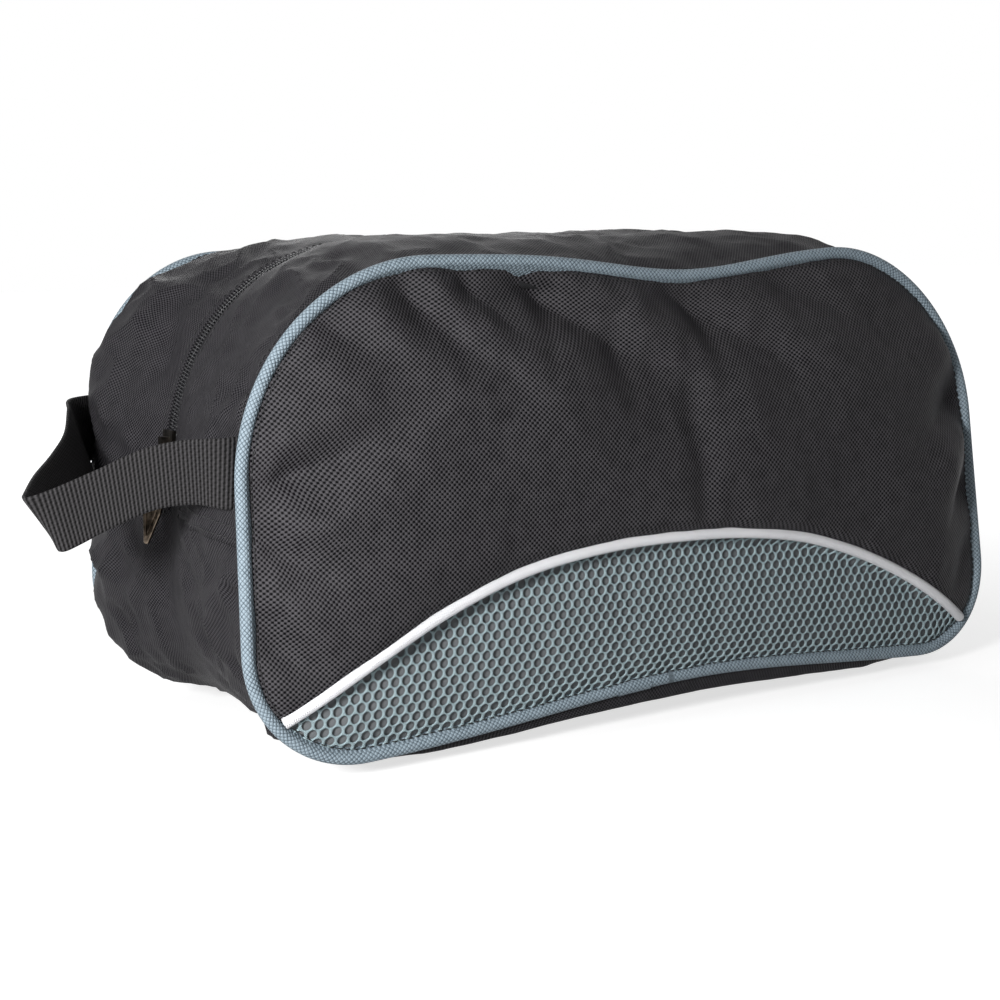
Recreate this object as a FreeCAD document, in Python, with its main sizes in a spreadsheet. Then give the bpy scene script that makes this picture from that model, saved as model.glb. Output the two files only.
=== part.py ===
"""Shoe bag with a zipped gusset, piped side panels, mesh vents and a webbing end handle.

The bag stands on the floor plane z = 0. X runs along its length, with the handle at -X,
and Y through its depth, with the front panel at -Y. Two outlines shape it: the seam outline,
which both piped side panels follow, and the crown outline, which the middle of the gusset
follows. Lengths are in millimetres and angles in degrees.
"""

import FreeCAD, Part

import math
import os
import re

import Sketcher

# Driving dimensions: name, value, and what it measures.
SIZES = [
    ("seam_length", 346.0, "length of the seam outline along X"),
    ("seam_height", 177.0, "height of the seam outline"),
    ("seam_top_radius", 84.0, "radius of the seam outline's top corners"),
    ("seam_bottom_radius", 42.0, "radius of the seam outline's bottom corners"),
    ("seam_depth", 156.0, "distance between the front and back seams along Y"),
    ("crown_rise", 7.0, "how far the gusset's middle stands above and below the seams"),
    ("end_recess", 4.0, "how far the gusset's middle sinks in at the two ends"),
    ("crown_top_radius", 81.0, "radius of the crown outline's top corners"),
    ("crown_bottom_radius", 45.0, "radius of the crown outline's bottom corners"),
    ("crown_depth", 100.0, "width along Y of the level middle of the gusset"),
    ("gusset_wall", 1.2, "thickness of the gusset fabric"),
    ("hem_wall", 3.0, "thickness of the gusset where it is turned in at the seam"),
    ("panel_wall", 1.2, "thickness of the side panels"),
    ("panel_bulge", 14.0, "how far the side panels stand out past their seams"),
    ("seam_gap", 0.3, "clearance between pieces that meet at a seam"),
    ("layer_gap", 0.2, "clearance between fabric layers that lie on each other"),
    ("allowance_width", 9.0, "depth of the seam allowances inside the bag"),
    ("allowance_wall", 1.6, "thickness of the gusset's turned-in allowance"),
    ("piping_radius", 2.4, "outer radius of the grey piping"),
    ("sleeve_wall", 0.8, "thickness of the piping's sleeve and flange"),
    ("cord_radius", 1.4, "radius of the filler cord inside the piping"),
    ("binding_wall", 0.5, "thickness of the tape that binds the inner seams"),
    ("binding_cover", 3.0, "how far the binding tape reaches over the allowances"),
    ("arch_half_span", 164.0, "half the span of the mesh arch at its springing"),
    ("arch_spring", 23.0, "height above the floor at which the arch springs"),
    ("arch_rise", 52.0, "height of the arch above its springing"),
    ("arch_piping_width", 4.6, "width of the white piping along the arch"),
    ("arch_piping_height", 2.2, "how far the white piping stands off the panel"),
    ("backing_wall", 0.8, "thickness of the cloth behind the mesh"),
    ("backing_margin", 12.0, "how far the backing stops short of the seam outline"),
    ("panel_shoulder", 9.0, "distance in from the seam at which the panel is at half its bulge"),
    ("panel_slope", 22.0, "distance in from the seam at which it is at four fifths"),
    ("panel_level", 45.0, "distance in from the seam at which it is level"),
    ("zip_seam_drop", 18.0, "distance of the end seams below the start of the top corners"),
    ("zip_gap", 11.0, "width of the slot between the gusset halves at the zip"),
    ("tape_width", 15.0, "width of each zip tape"),
    ("coil_overhang", 0.8, "how far each coil stands past the edge of its tape"),
    ("tape_wall", 0.6, "thickness of each zip tape"),
    ("coil_width", 2.8, "width of each zip coil"),
    ("coil_height", 2.0, "height of each zip coil"),
    ("coil_spacing", 0.9, "space between the two coils, where the slider's post runs"),
    ("stop_length", 3.0, "length of each zip stop along the chain"),
    ("stop_start", 1.0, "distance from the end seams to the zip stops"),
    ("stop_wall", 0.6, "how far the zip stops stand around the coils"),
    ("slider_angle", 4.0, "angle of the closed slider above the start of the corner"),
    ("slider_length", 12.0, "length of the slider along the chain"),
    ("slider_width", 9.0, "width of the slider across the chain"),
    ("slider_wall", 1.2, "thickness of the slider's two plates"),
    ("slider_flange", 0.95, "thickness of the slider's side flanges"),
    ("slider_gap", 0.3, "running clearance of the slider around the chain"),
    ("post_length", 2.5, "length of the post between the slider's plates"),
    ("post_width", 0.5, "width of the post between the slider's plates"),
    ("cap_length", 7.0, "length of the arched cap on the slider"),
    ("cap_width", 3.0, "width of the arched cap on the slider"),
    ("cap_wall", 0.8, "thickness of the arched cap"),
    ("pin_radius", 0.7, "radius of the pull's round bar under the cap"),
    ("pin_gap", 0.4, "clearance around the pull's round bar"),
    ("pull_length", 36.0, "length of the pull from its bar to its tip"),
    ("pull_width", 8.5, "width of the pull"),
    ("pull_tip_width", 5.5, "width of the pull at its tip"),
    ("pull_wall", 1.0, "thickness of the pull"),
    ("pull_window", 6.5, "length of the pull's window from its bar"),
    ("pull_window_width", 4.0, "width of the pull's window, which the cap stands in"),
    ("pull_slot_length", 12.0, "length of the slot through the pull's blade"),
    ("pull_slot_width", 2.6, "width of the slot through the pull's blade"),
    ("pull_bridge", 3.0, "length of the bridge between the pull's window and its slot"),
    ("pull_corner", 1.5, "radius of the corners at the pull's tip"),
    ("webbing_width", 25.0, "width of the handle webbing"),
    ("webbing_wall", 1.4, "thickness of the handle webbing"),
    ("handle_level", 113.0, "height of the handle's sewn ends"),
    ("handle_reach", 60.0, "how far the handle's fold stands out from the end"),
    ("handle_fold_offset", 34.0, "distance of the fold in front of the bag's middle"),
    ("handle_fold_radius", 2.0, "inner radius of the handle's fold"),
    ("handle_inset", 4.0, "distance of the handle's sewn ends inside the seams"),
    ("handle_hinge", 3.0, "distance from the end to the line about which the loop swings"),
    ("handle_root", 14.0, "how far the sewn roots stand out from that line"),
    ("handle_droop", 17.0, "angle by which the loop hangs below the horizontal"),
    ("handle_joint_gap", 0.9, "space between the loop and its sewn tails"),
    ("end_binding_width", 14.0, "width of the tape behind each end seam"),
]

doc = FreeCAD.newDocument("ShoeBag")
sheet = doc.addObject("Spreadsheet::Sheet", "Sizes")
for row, (name, value, meaning) in enumerate(SIZES, start=1):
    sheet.set(f"A{row}", name)
    sheet.set(f"B{row}", str(value))
    sheet.set(f"C{row}", meaning)
    sheet.setAlias(f"B{row}", name)
doc.recompute()

ALIAS = re.compile(r"\b(" + "|".join(name for name, _, _ in SIZES) + r")\b")
PARTS = []


def formula(text):
    """The expression with each size's name pointing at its cell."""
    return ALIAS.sub(r"Sizes.\1", text)


def size(text):
    """The value of an expression of the sheet's sizes."""
    return float(sheet.evalExpression(formula(text)))


# ---------------------------------------------------------------- derived expressions
SEAM = {
    "half": "seam_length / 2",
    "low": "crown_rise",
    "high": "crown_rise + seam_height",
    "top": "seam_top_radius",
    "bottom": "seam_bottom_radius",
}
CROWN = {
    "half": "seam_length / 2 - end_recess",
    "low": "0",
    "high": "2 * crown_rise + seam_height",
    "top": "crown_top_radius",
    "bottom": "crown_bottom_radius",
}
SEAM_PLANE = "seam_depth / 2"
SLEEVE_INNER = "(piping_radius - sleeve_wall)"
FLANGE_FRONT = f"({SEAM_PLANE} - sleeve_wall)"
FLANGE_BACK = f"({SEAM_PLANE} - 2 * sleeve_wall)"
ALLOWANCE_FRONT = f"({FLANGE_BACK} - layer_gap)"
ALLOWANCE_BACK = f"({ALLOWANCE_FRONT} - allowance_wall)"
HEM_START = f"({SEAM_PLANE} - piping_radius - seam_gap)"
PANEL_INSET = "(piping_radius + seam_gap)"
PANEL_BACK = f"({SEAM_PLANE} - sleeve_wall + seam_gap)"
TAPE_TOP = "(gusset_wall + layer_gap)"
COIL_FOOT = f"({TAPE_TOP} - layer_gap / 2)"
COIL_TOP = f"(coil_height - {COIL_FOOT})"
PLATE_FOOT = f"({COIL_TOP} + slider_gap)"
PLATE_TOP = f"({PLATE_FOOT} + slider_wall)"
TAPE_BACK = f"({TAPE_TOP} + tape_wall)"
COIL_INNER = "(coil_spacing / 2)"
COIL_OUTER = "(coil_spacing / 2 + coil_width)"
PIN_LEVEL = f"({PLATE_TOP} + pin_gap + pin_radius)"
CAP_TOP = f"({PIN_LEVEL} + pin_radius + pin_gap + cap_wall)"
ARCH_RADIUS = "((arch_half_span ^ 2 + arch_rise ^ 2) / (2 * arch_rise))"
CORNER_X = f"({CROWN['top']} - ({CROWN['half']}))"
CORNER_Z = f"({CROWN['high']} - {CROWN['top']})"
PIN_X = f"({CORNER_X} - (crown_top_radius + {PIN_LEVEL}) * cos(slider_angle * 1 deg))"
PIN_Z = f"({CORNER_Z} + (crown_top_radius + {PIN_LEVEL}) * sin(slider_angle * 1 deg))"
ZIP_SEAM_LEVEL = f"({CORNER_Z} - zip_seam_drop)"
ZIP_FOOT = f"({ZIP_SEAM_LEVEL} + seam_gap / 2)"
HANDLE_SEAT = f"({SEAM_PLANE} - handle_inset)"
REACH = "seam_length"

# Shape of the panel's dome, as shares.
SHOULDER_SHARE = 0.5    # of the full bulge, reached at the shoulder
SLOPE_SHARE = 0.8       # of the full bulge, reached at the slope
CORNER_FADE = 1.77      # how much faster the dome's corners shrink than its height does


def inset(outline, amount):
    """An outline moved inwards by amount, as expressions. A negative amount grows it."""
    return {
        "half": f"{outline['half']} - ({amount})",
        "low": f"{outline['low']} + ({amount})",
        "high": f"{outline['high']} - ({amount})",
        "top": f"{outline['top']} - ({amount})",
        "bottom": f"{outline['bottom']} - ({amount})",
    }


# ---------------------------------------------------------------- sketching helpers
def new_body(name):
    return doc.addObject("PartDesign::Body", name)


def plane_of(body, role):
    return next(f for f in body.Origin.OriginFeatures if f.Role == role)


def sketch_on(body, role, offset, name):
    """A sketch on one of the body's own origin planes, moved along its normal by offset."""
    made = body.newObject("Sketcher::SketchObject", name)
    made.AttachmentSupport = (plane_of(body, role), [""])
    made.MapMode = "FlatFace"
    made.setExpression("AttachmentOffset.Base.z", formula(offset))
    return made


def bind(sketch, constraint, expression):
    """Adds a dimension to the sketch and ties it to an expression."""
    index = sketch.addConstraint(constraint)
    sketch.setExpression(f"Constraints[{index}]", formula(expression))


def add_outline(sketch, outline):
    """A rounded rectangle, symmetric about the sketch's upright axis, from five expressions."""
    half, low, high = (size(outline[k]) for k in ("half", "low", "high"))
    top, bottom = size(outline["top"]), size(outline["bottom"])
    first = sketch.GeometryCount
    v = FreeCAD.Vector
    up = v(0, 0, 1)
    quarter = math.pi / 2

    def line(x1, y1, x2, y2):
        sketch.addGeometry(Part.LineSegment(v(x1, y1, 0), v(x2, y2, 0)), False)

    def arc(x, y, radius, start):
        circle = Part.Circle(v(x, y, 0), up, radius)
        sketch.addGeometry(Part.ArcOfCircle(circle, start, start + quarter), False)

    line(-(half - bottom), low, half - bottom, low)
    arc(half - bottom, low + bottom, bottom, -quarter)
    line(half, low + bottom, half, high - top)
    arc(half - top, high - top, top, 0)
    line(half - top, high, -(half - top), high)
    arc(-(half - top), high - top, top, quarter)
    line(-half, high - top, -half, low + bottom)
    arc(-(half - bottom), low + bottom, bottom, 2 * quarter)
    for i in range(8):
        here, there = first + i, first + (i + 1) % 8
        sketch.addConstraint(Sketcher.Constraint("Tangent", here, 2, there, 1))
    for i, kind in ((0, "Horizontal"), (2, "Vertical"), (4, "Horizontal"), (6, "Vertical")):
        sketch.addConstraint(Sketcher.Constraint(kind, first + i))
    sketch.addConstraint(Sketcher.Constraint("Equal", first + 1, first + 7))
    sketch.addConstraint(Sketcher.Constraint("Equal", first + 3, first + 5))
    bind(sketch, Sketcher.Constraint("Radius", first + 1, bottom), outline["bottom"])
    bind(sketch, Sketcher.Constraint("Radius", first + 3, top), outline["top"])
    bind(sketch, Sketcher.Constraint("DistanceX", -1, 1, first + 2, 1, half), outline["half"])
    bind(sketch, Sketcher.Constraint("DistanceX", first + 6, 1, -1, 1, half), outline["half"])
    bind(sketch, Sketcher.Constraint("DistanceY", -1, 1, first, 1, low), outline["low"])
    bind(sketch, Sketcher.Constraint("DistanceY", -1, 1, first + 4, 1, high), outline["high"])


def add_rectangle(sketch, left, right, low, high):
    """A rectangle whose four sides stand at expressions of the sketch's own axes."""
    x1, x2, y1, y2 = (size(text) for text in (left, right, low, high))
    first = sketch.GeometryCount
    v = FreeCAD.Vector
    corners = [v(x1, y1, 0), v(x2, y1, 0), v(x2, y2, 0), v(x1, y2, 0)]
    for i in range(4):
        sketch.addGeometry(Part.LineSegment(corners[i], corners[(i + 1) % 4]), False)
    for i in range(4):
        there = first + (i + 1) % 4
        sketch.addConstraint(Sketcher.Constraint("Coincident", first + i, 2, there, 1))
    for i, kind in enumerate(("Horizontal", "Vertical", "Horizontal", "Vertical")):
        sketch.addConstraint(Sketcher.Constraint(kind, first + i))
    place_point(sketch, first, 1, left, low)
    place_point(sketch, first + 2, 1, right, high)


def place_point(sketch, edge, end, x_text, y_text):
    """Ties a point of the sketch to two expressions, whichever sign they have."""
    for kind, text in (("DistanceX", x_text), ("DistanceY", y_text)):
        value = size(text)
        if value >= 0:
            bind(sketch, Sketcher.Constraint(kind, -1, 1, edge, end, value), text)
        else:
            flipped = f"-({text})"
            bind(sketch, Sketcher.Constraint(kind, edge, end, -1, 1, -value), flipped)


def outline_at(body, outline, offset, name):
    """A sketch of one outline, standing at y = -offset."""
    made = sketch_on(body, "XZ_Plane", offset, name)
    add_outline(made, outline)
    return made


def ring_at(body, outer, inner, offset, name):
    """A sketch of the band between two outlines, standing at y = -offset."""
    made = outline_at(body, outer, offset, name)
    add_outline(made, inner)
    return made


def pad(body, sketch, length, name, reverse=False, middle=False):
    """A pad of the sketch, along +Y for a sketch on XZ_Plane when reversed."""
    made = body.newObject("PartDesign::Pad", name)
    made.Profile = sketch
    made.Length = size(length)
    made.setExpression("Length", formula(length))
    made.Reversed = reverse
    if middle:
        made.SideType = "Symmetric"
    sketch.Visibility = False
    doc.recompute()
    return made


def pocket(body, sketch, length, name, reverse=False, middle=False):
    made = body.newObject("PartDesign::Pocket", name)
    made.Profile = sketch
    made.Length = size(length)
    made.setExpression("Length", formula(length))
    made.Reversed = reverse
    if middle:
        made.SideType = "Symmetric"
    doc.recompute()
    return made


def loft(body, sketches, name, cut=False):
    kind = "PartDesign::SubtractiveLoft" if cut else "PartDesign::AdditiveLoft"
    made = body.newObject(kind, name)
    made.Profile = sketches[0]
    made.Sections = sketches[1:]
    doc.recompute()
    return made


def pipe(body, profile, spine, name, cut=False):
    kind = "PartDesign::SubtractivePipe" if cut else "PartDesign::AdditivePipe"
    made = body.newObject(kind, name)
    made.Profile = profile
    made.Spine = spine
    doc.recompute()
    return made


def part(made, label):
    """Marks an object as one finished piece of the bag, with its own file."""
    made.Label = label
    PARTS.append(made)
    return made


def box(name, low, high):
    """A helper block between two corners, each three expressions."""
    made = doc.addObject("Part::Box", name)
    for prop, a, b in zip(("Length", "Width", "Height"), low, high):
        made.setExpression(prop, formula(f"({b}) - ({a})"))
    for axis, a in zip("xyz", low):
        made.setExpression(f"Placement.Base.{axis}", formula(a))
    return made


def common(name, base, tool):
    made = doc.addObject("Part::Common", name)
    made.Base = base
    made.Tool = tool
    return made


def cut(name, base, tool):
    made = doc.addObject("Part::Cut", name)
    made.Base = base
    made.Tool = tool
    return made


def mirrored(name, source):
    """The same piece on the other side of the bag's middle plane, y = 0."""
    made = doc.addObject("Part::Mirroring", name)
    made.Source = source
    made.Normal = FreeCAD.Vector(0, 1, 0)
    made.Base = FreeCAD.Vector(0, 0, 0)
    return made


def shrunk(outline, amount):
    """The outline moved inwards, with corners that shrink in step, for the panel's dome."""
    made = inset(outline, amount)
    for corner in ("top", "bottom"):
        made[corner] = f"({outline[corner]}) * (1 - {CORNER_FADE} * ({amount}) / seam_height)"
    return made


# ---------------------------------------------------------------- side panels
def dome(name, deeper, lower, ring=True):
    """A solid dome over one side of the bag, moved in and down from the panel's outer face."""
    body = new_body(name)
    steps = [
        ("panel_edge", PANEL_INSET, PANEL_BACK),
        ("panel_rim", PANEL_INSET, f"{SEAM_PLANE} + panel_wall - ({lower})"),
        ("panel_shoulder", "panel_shoulder", f"{SEAM_PLANE} + {SHOULDER_SHARE} * panel_bulge - ({lower})"),
        ("panel_slope", "panel_slope", f"{SEAM_PLANE} + {SLOPE_SHARE} * panel_bulge - ({lower})"),
        ("panel_level", "panel_level", f"{SEAM_PLANE} + panel_bulge - ({lower})"),
    ]
    sections = [
        outline_at(body, shrunk(SEAM, f"{step} + ({deeper})"), level, f"{name}_{label}")
        for label, step, level in steps
    ]
    made = loft(body, sections, f"{name}_dome")
    made.Ruled = True
    return body


def panel_skin(name, proud):
    """The panel's shell with its seam allowance, standing proud of the fabric by an amount."""
    outer = dome(f"{name}_outer", "0", f"-({proud})")
    inner = dome(f"{name}_inner", "panel_wall", "panel_wall")
    body = new_body(f"{name}_allowance")
    ring = ring_at(body, inset(SEAM, PANEL_INSET), inset(SEAM, "allowance_width"),
                   PANEL_BACK, f"{name}_allowance_ring")
    pad(body, ring, "panel_wall", f"{name}_allowance_pad")
    shell = cut(f"{name}_shell", outer, inner)
    made = doc.addObject("Part::Fuse", f"{name}_skin")
    made.Base = shell
    made.Tool = body
    return made


def arch(name, grow):
    """A round bar along -Y whose upper side is the line of the mesh arch, grown by an amount."""
    made = doc.addObject("Part::Cylinder", name)
    made.Placement.Rotation = FreeCAD.Rotation(FreeCAD.Vector(1, 0, 0), 90)
    made.setExpression("Radius", formula(f"{ARCH_RADIUS} + ({grow})"))
    made.setExpression("Height", formula("seam_depth"))
    made.setExpression("Placement.Base.z",
                       formula(f"arch_spring + arch_rise - {ARCH_RADIUS}"))
    return made


def make_panels():
    skin = panel_skin("Panel", "0")
    raised = panel_skin("Piping", "arch_piping_height")
    above = arch("ArchAbove", "arch_piping_width / 2")
    below = arch("ArchBelow", "-arch_piping_width / 2")
    front = {
        "panel": cut("FrontPanel", skin, above),
        "mesh": common("FrontMesh", skin, below),
        "arc_piping": cut("FrontArcPiping", common("ArcBand", raised, above), below),
    }
    cover = dome("Backing_outer", "panel_wall + layer_gap", "panel_wall + layer_gap")
    core = dome("Backing_inner", "panel_wall + layer_gap + backing_wall",
                "panel_wall + layer_gap + backing_wall")
    body = new_body("BackingOutline")
    sheet_outline = outline_at(body, inset(SEAM, "backing_margin"), "0", "backing_edge")
    pad(body, sheet_outline, "seam_depth", "backing_prism")
    cloth = common("BackingCloth", cut("BackingShell", cover, core), body)
    front["mesh_backing"] = common("FrontMeshBacking", cloth, below)
    return front


# ---------------------------------------------------------------- piping and seam binding
def ring_sweep(body, radius, name, hollow=False):
    """A round bar, or the bore of one, along the seam outline, from the end of its bottom run."""
    spine = outline_at(body, SEAM, SEAM_PLANE, f"{name}_spine")
    side = f"{SEAM['half']} - {SEAM['bottom']}"
    profile = sketch_on(body, "YZ_Plane", f"-({side})", f"{name}_profile")
    centre = FreeCAD.Vector(-size(SEAM_PLANE), size(SEAM["low"]), 0)
    circle = profile.addGeometry(
        Part.Circle(centre, FreeCAD.Vector(0, 0, 1), size(radius)), False)
    bind(profile, Sketcher.Constraint("Radius", circle, size(radius)), radius)
    bind(profile, Sketcher.Constraint("DistanceX", circle, 3, -1, 1, -centre.x), SEAM_PLANE)
    bind(profile, Sketcher.Constraint("DistanceY", -1, 1, circle, 3, centre.y), SEAM["low"])
    return pipe(body, profile, (spine, []), f"{name}_sweep", cut=hollow)


def make_piping():
    sleeve = new_body("FrontPipingSleeve")
    ring_sweep(sleeve, "piping_radius", "sleeve")
    flange = ring_at(sleeve, inset(SEAM, SLEEVE_INNER), inset(SEAM, "allowance_width"),
                     FLANGE_BACK, "sleeve_flange")
    pad(sleeve, flange, "sleeve_wall", "sleeve_flange_pad")
    ring_sweep(sleeve, SLEEVE_INNER, "sleeve_bore", hollow=True)
    cord = new_body("FrontPipingCord")
    ring_sweep(cord, "cord_radius", "cord")
    binding = new_body("FrontSeamBinding")
    start = "(allowance_width - binding_cover)"
    edge = "(allowance_width + layer_gap)"
    foot = f"({ALLOWANCE_BACK} - layer_gap - binding_wall)"
    head = f"({PANEL_BACK} + panel_wall + layer_gap + binding_wall)"
    outer = ring_at(binding, inset(SEAM, start), inset(SEAM, f"{edge} + binding_wall"),
                    foot, "binding_outer")
    pad(binding, outer, f"{head} - {foot}", "binding_pad")
    inner = ring_at(binding, inset(SEAM, f"{start} - layer_gap"), inset(SEAM, edge),
                    f"{foot} + binding_wall", "binding_inner")
    pocket(binding, inner, f"{head} - {foot} - 2 * binding_wall", "binding_pocket", reverse=True)
    return {"piping_sleeve": sleeve, "piping_cord": cord, "seam_binding": binding}


# ---------------------------------------------------------------- gusset
def barrel(name, amount, half_depth=HEM_START):
    """The solid barrel between the two seams, moved inwards by an amount."""
    body = new_body(name)
    stations = [
        (SEAM, half_depth), (CROWN, "crown_depth / 2"),
        (CROWN, "-crown_depth / 2"), (SEAM, f"-{half_depth}"),
    ]
    sections = [
        outline_at(body, inset(outline, amount), level, f"{name}_section_{i}")
        for i, (outline, level) in enumerate(stations)
    ]
    loft(body, sections, f"{name}_loft").Ruled = True
    return body


def front_hem():
    """The gusset's turned-in edge at the front seam: a thick hem and a flat allowance."""
    body = new_body("GussetHem")
    hem = ring_at(body, inset(SEAM, "gusset_wall / 2"), inset(SEAM, "hem_wall"), ALLOWANCE_BACK,
                  "hem_ring")
    pad(body, hem, f"{HEM_START} - {ALLOWANCE_BACK}", "hem_pad")
    flat = ring_at(body, inset(SEAM, "piping_radius"), inset(SEAM, "allowance_width"),
                   ALLOWANCE_BACK, "allowance_ring")
    pad(body, flat, "allowance_wall", "allowance_pad")
    return body


def make_gusset():
    shell = cut("GussetShell", barrel("GussetOuter", "0"), barrel("GussetInner", "gusset_wall"))
    hem = front_hem()
    whole = doc.addObject("Part::MultiFuse", "GussetWhole")
    whole.Shapes = [shell, hem, mirrored("GussetHemBack", hem)]
    split = "seam_gap / 2"
    lower = box("BelowZipSeam", (f"-({REACH})", f"-({REACH})", "-crown_rise"),
                (REACH, REACH, f"{ZIP_SEAM_LEVEL} - {split}"))
    upper = box("FrontOfZip", (f"-({REACH})", f"-({REACH})", f"{ZIP_SEAM_LEVEL} + {split}"),
                (REACH, "-zip_gap / 2", REACH))
    base = common("BaseGusset", whole, lower)
    front = common("FrontZipGusset", whole, upper)
    return base, front


def make_end_tapes():
    """The tapes inside the two end seams, where the zip gusset meets the base gusset."""
    shell = cut("EndTapeShell", barrel("EndTapeOuter", f"{TAPE_BACK} + layer_gap"),
                barrel("EndTapeInner", f"{TAPE_BACK} + layer_gap + binding_wall"))
    tapes = []
    half_width = f"{ALLOWANCE_BACK} - binding_wall - 2 * seam_gap"
    for name, near, far in (("left_end_seam_tape", f"-({REACH})", "0"),
                            ("right_end_seam_tape", "0", REACH)):
        low = f"{ZIP_SEAM_LEVEL} - end_binding_width / 2"
        zone = box(f"{name}_zone", (near, f"-({half_width})", low),
                   (far, half_width, f"{low} + end_binding_width"))
        tapes.append(part(common(f"{name}_piece", shell, zone), name))
    return tapes


# ---------------------------------------------------------------- zip
def chain_ring(name, top, foot, near, far):
    """A band that follows the crown between two depths, from near to far in front of y = 0."""
    body = new_body(name)
    ring = ring_at(body, inset(CROWN, top), inset(CROWN, foot), near, f"{name}_ring")
    pad(body, ring, f"{far} - ({near})", f"{name}_pad")
    return body


def above_level(name, base, low, high=REACH, near=f"-({REACH})", far=REACH):
    zone = box(f"{name}_zone", (near, f"-({REACH})", low), (far, REACH, high))
    return common(name, base, zone)


def make_zip():
    stop_foot = f"{ZIP_FOOT} + stop_start"
    stop_head = f"{stop_foot} + stop_length"
    tape = chain_ring("TapeRing", TAPE_TOP, TAPE_BACK, f"{COIL_INNER} + coil_overhang",
                      f"{COIL_INNER} + coil_overhang + tape_width")
    coil = chain_ring("CoilRing", f"-{COIL_TOP}", COIL_FOOT, COIL_INNER, COIL_OUTER)
    stop = chain_ring("TopStopRing", f"-({COIL_TOP} + stop_wall)", COIL_FOOT, COIL_INNER,
                      f"{COIL_OUTER} + stop_wall")
    middle = chain_ring("BottomStopRing", f"-({COIL_TOP} + stop_wall)", COIL_FOOT,
                        f"-({COIL_OUTER} + stop_wall)", f"{COIL_OUTER} + stop_wall")
    front_stop = above_level("FrontTopStop", stop, stop_foot, stop_head, far="0")
    stops = doc.addObject("Part::Compound", "TopStops")
    stops.Links = [front_stop, mirrored("BackTopStop", front_stop)]
    part(stops, "zip_top_stops")
    part(above_level("BottomStop", middle, stop_foot, stop_head, near="0"), "zip_bottom_stop")
    return {
        "zip_tape": above_level("FrontZipTape", tape, ZIP_FOOT),
        "zip_coil": above_level("FrontZipCoil", coil, stop_head),
    }


# ---------------------------------------------------------------- slider and pull
def slider_body(name):
    """A body centred on the corner's axis and turned so that its -X axis meets the slider."""
    body = new_body(name)
    body.Placement.Rotation = FreeCAD.Rotation(FreeCAD.Vector(0, 1, 0), size("slider_angle"))
    body.setExpression("Placement.Base.x", formula(CORNER_X))
    body.setExpression("Placement.Base.z", formula(CORNER_Z))
    body.setExpression("Placement.Rotation.Angle", formula("slider_angle * 1 deg"))
    return body


def curved_plate(body, foot, top, length, near, width, name):
    """A plate that follows the chain round the corner, between two heights off the crown."""
    made = sketch_on(body, "XZ_Plane", near, name)
    half = size(length) / 2
    radii = [f"crown_top_radius + ({level})" for level in (foot, top)]
    inner, outer = (size(text) for text in radii)
    v = FreeCAD.Vector
    for radius in (inner, outer):
        swing = math.asin(half / radius)
        circle = Part.Circle(v(0, 0, 0), v(0, 0, 1), radius)
        made.addGeometry(Part.ArcOfCircle(circle, math.pi - swing, math.pi + swing), False)
    for start, end in ((0, 1), (1, 0)):
        side = 1 if start == 0 else -1
        reach = [math.sqrt(r * r - half * half) for r in (inner, outer)]
        made.addGeometry(Part.LineSegment(v(-reach[start], side * half, 0),
                                          v(-reach[end], side * half, 0)), False)
    for first, end, second, other in ((0, 1, 2, 1), (2, 2, 1, 1), (1, 2, 3, 1), (3, 2, 0, 2)):
        made.addConstraint(Sketcher.Constraint("Coincident", first, end, second, other))
    made.addConstraint(Sketcher.Constraint("Coincident", 0, 3, -1, 1))
    made.addConstraint(Sketcher.Constraint("Coincident", 1, 3, -1, 1))
    made.addConstraint(Sketcher.Constraint("Horizontal", 2))
    made.addConstraint(Sketcher.Constraint("Horizontal", 3))
    bind(made, Sketcher.Constraint("Radius", 0, inner), radii[0])
    bind(made, Sketcher.Constraint("Radius", 1, outer), radii[1])
    bind(made, Sketcher.Constraint("DistanceY", -1, 1, 0, 1, half), f"({length}) / 2")
    bind(made, Sketcher.Constraint("DistanceY", 0, 2, -1, 1, half), f"({length}) / 2")
    return pad(body, made, width, f"{name}_pad")


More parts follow.
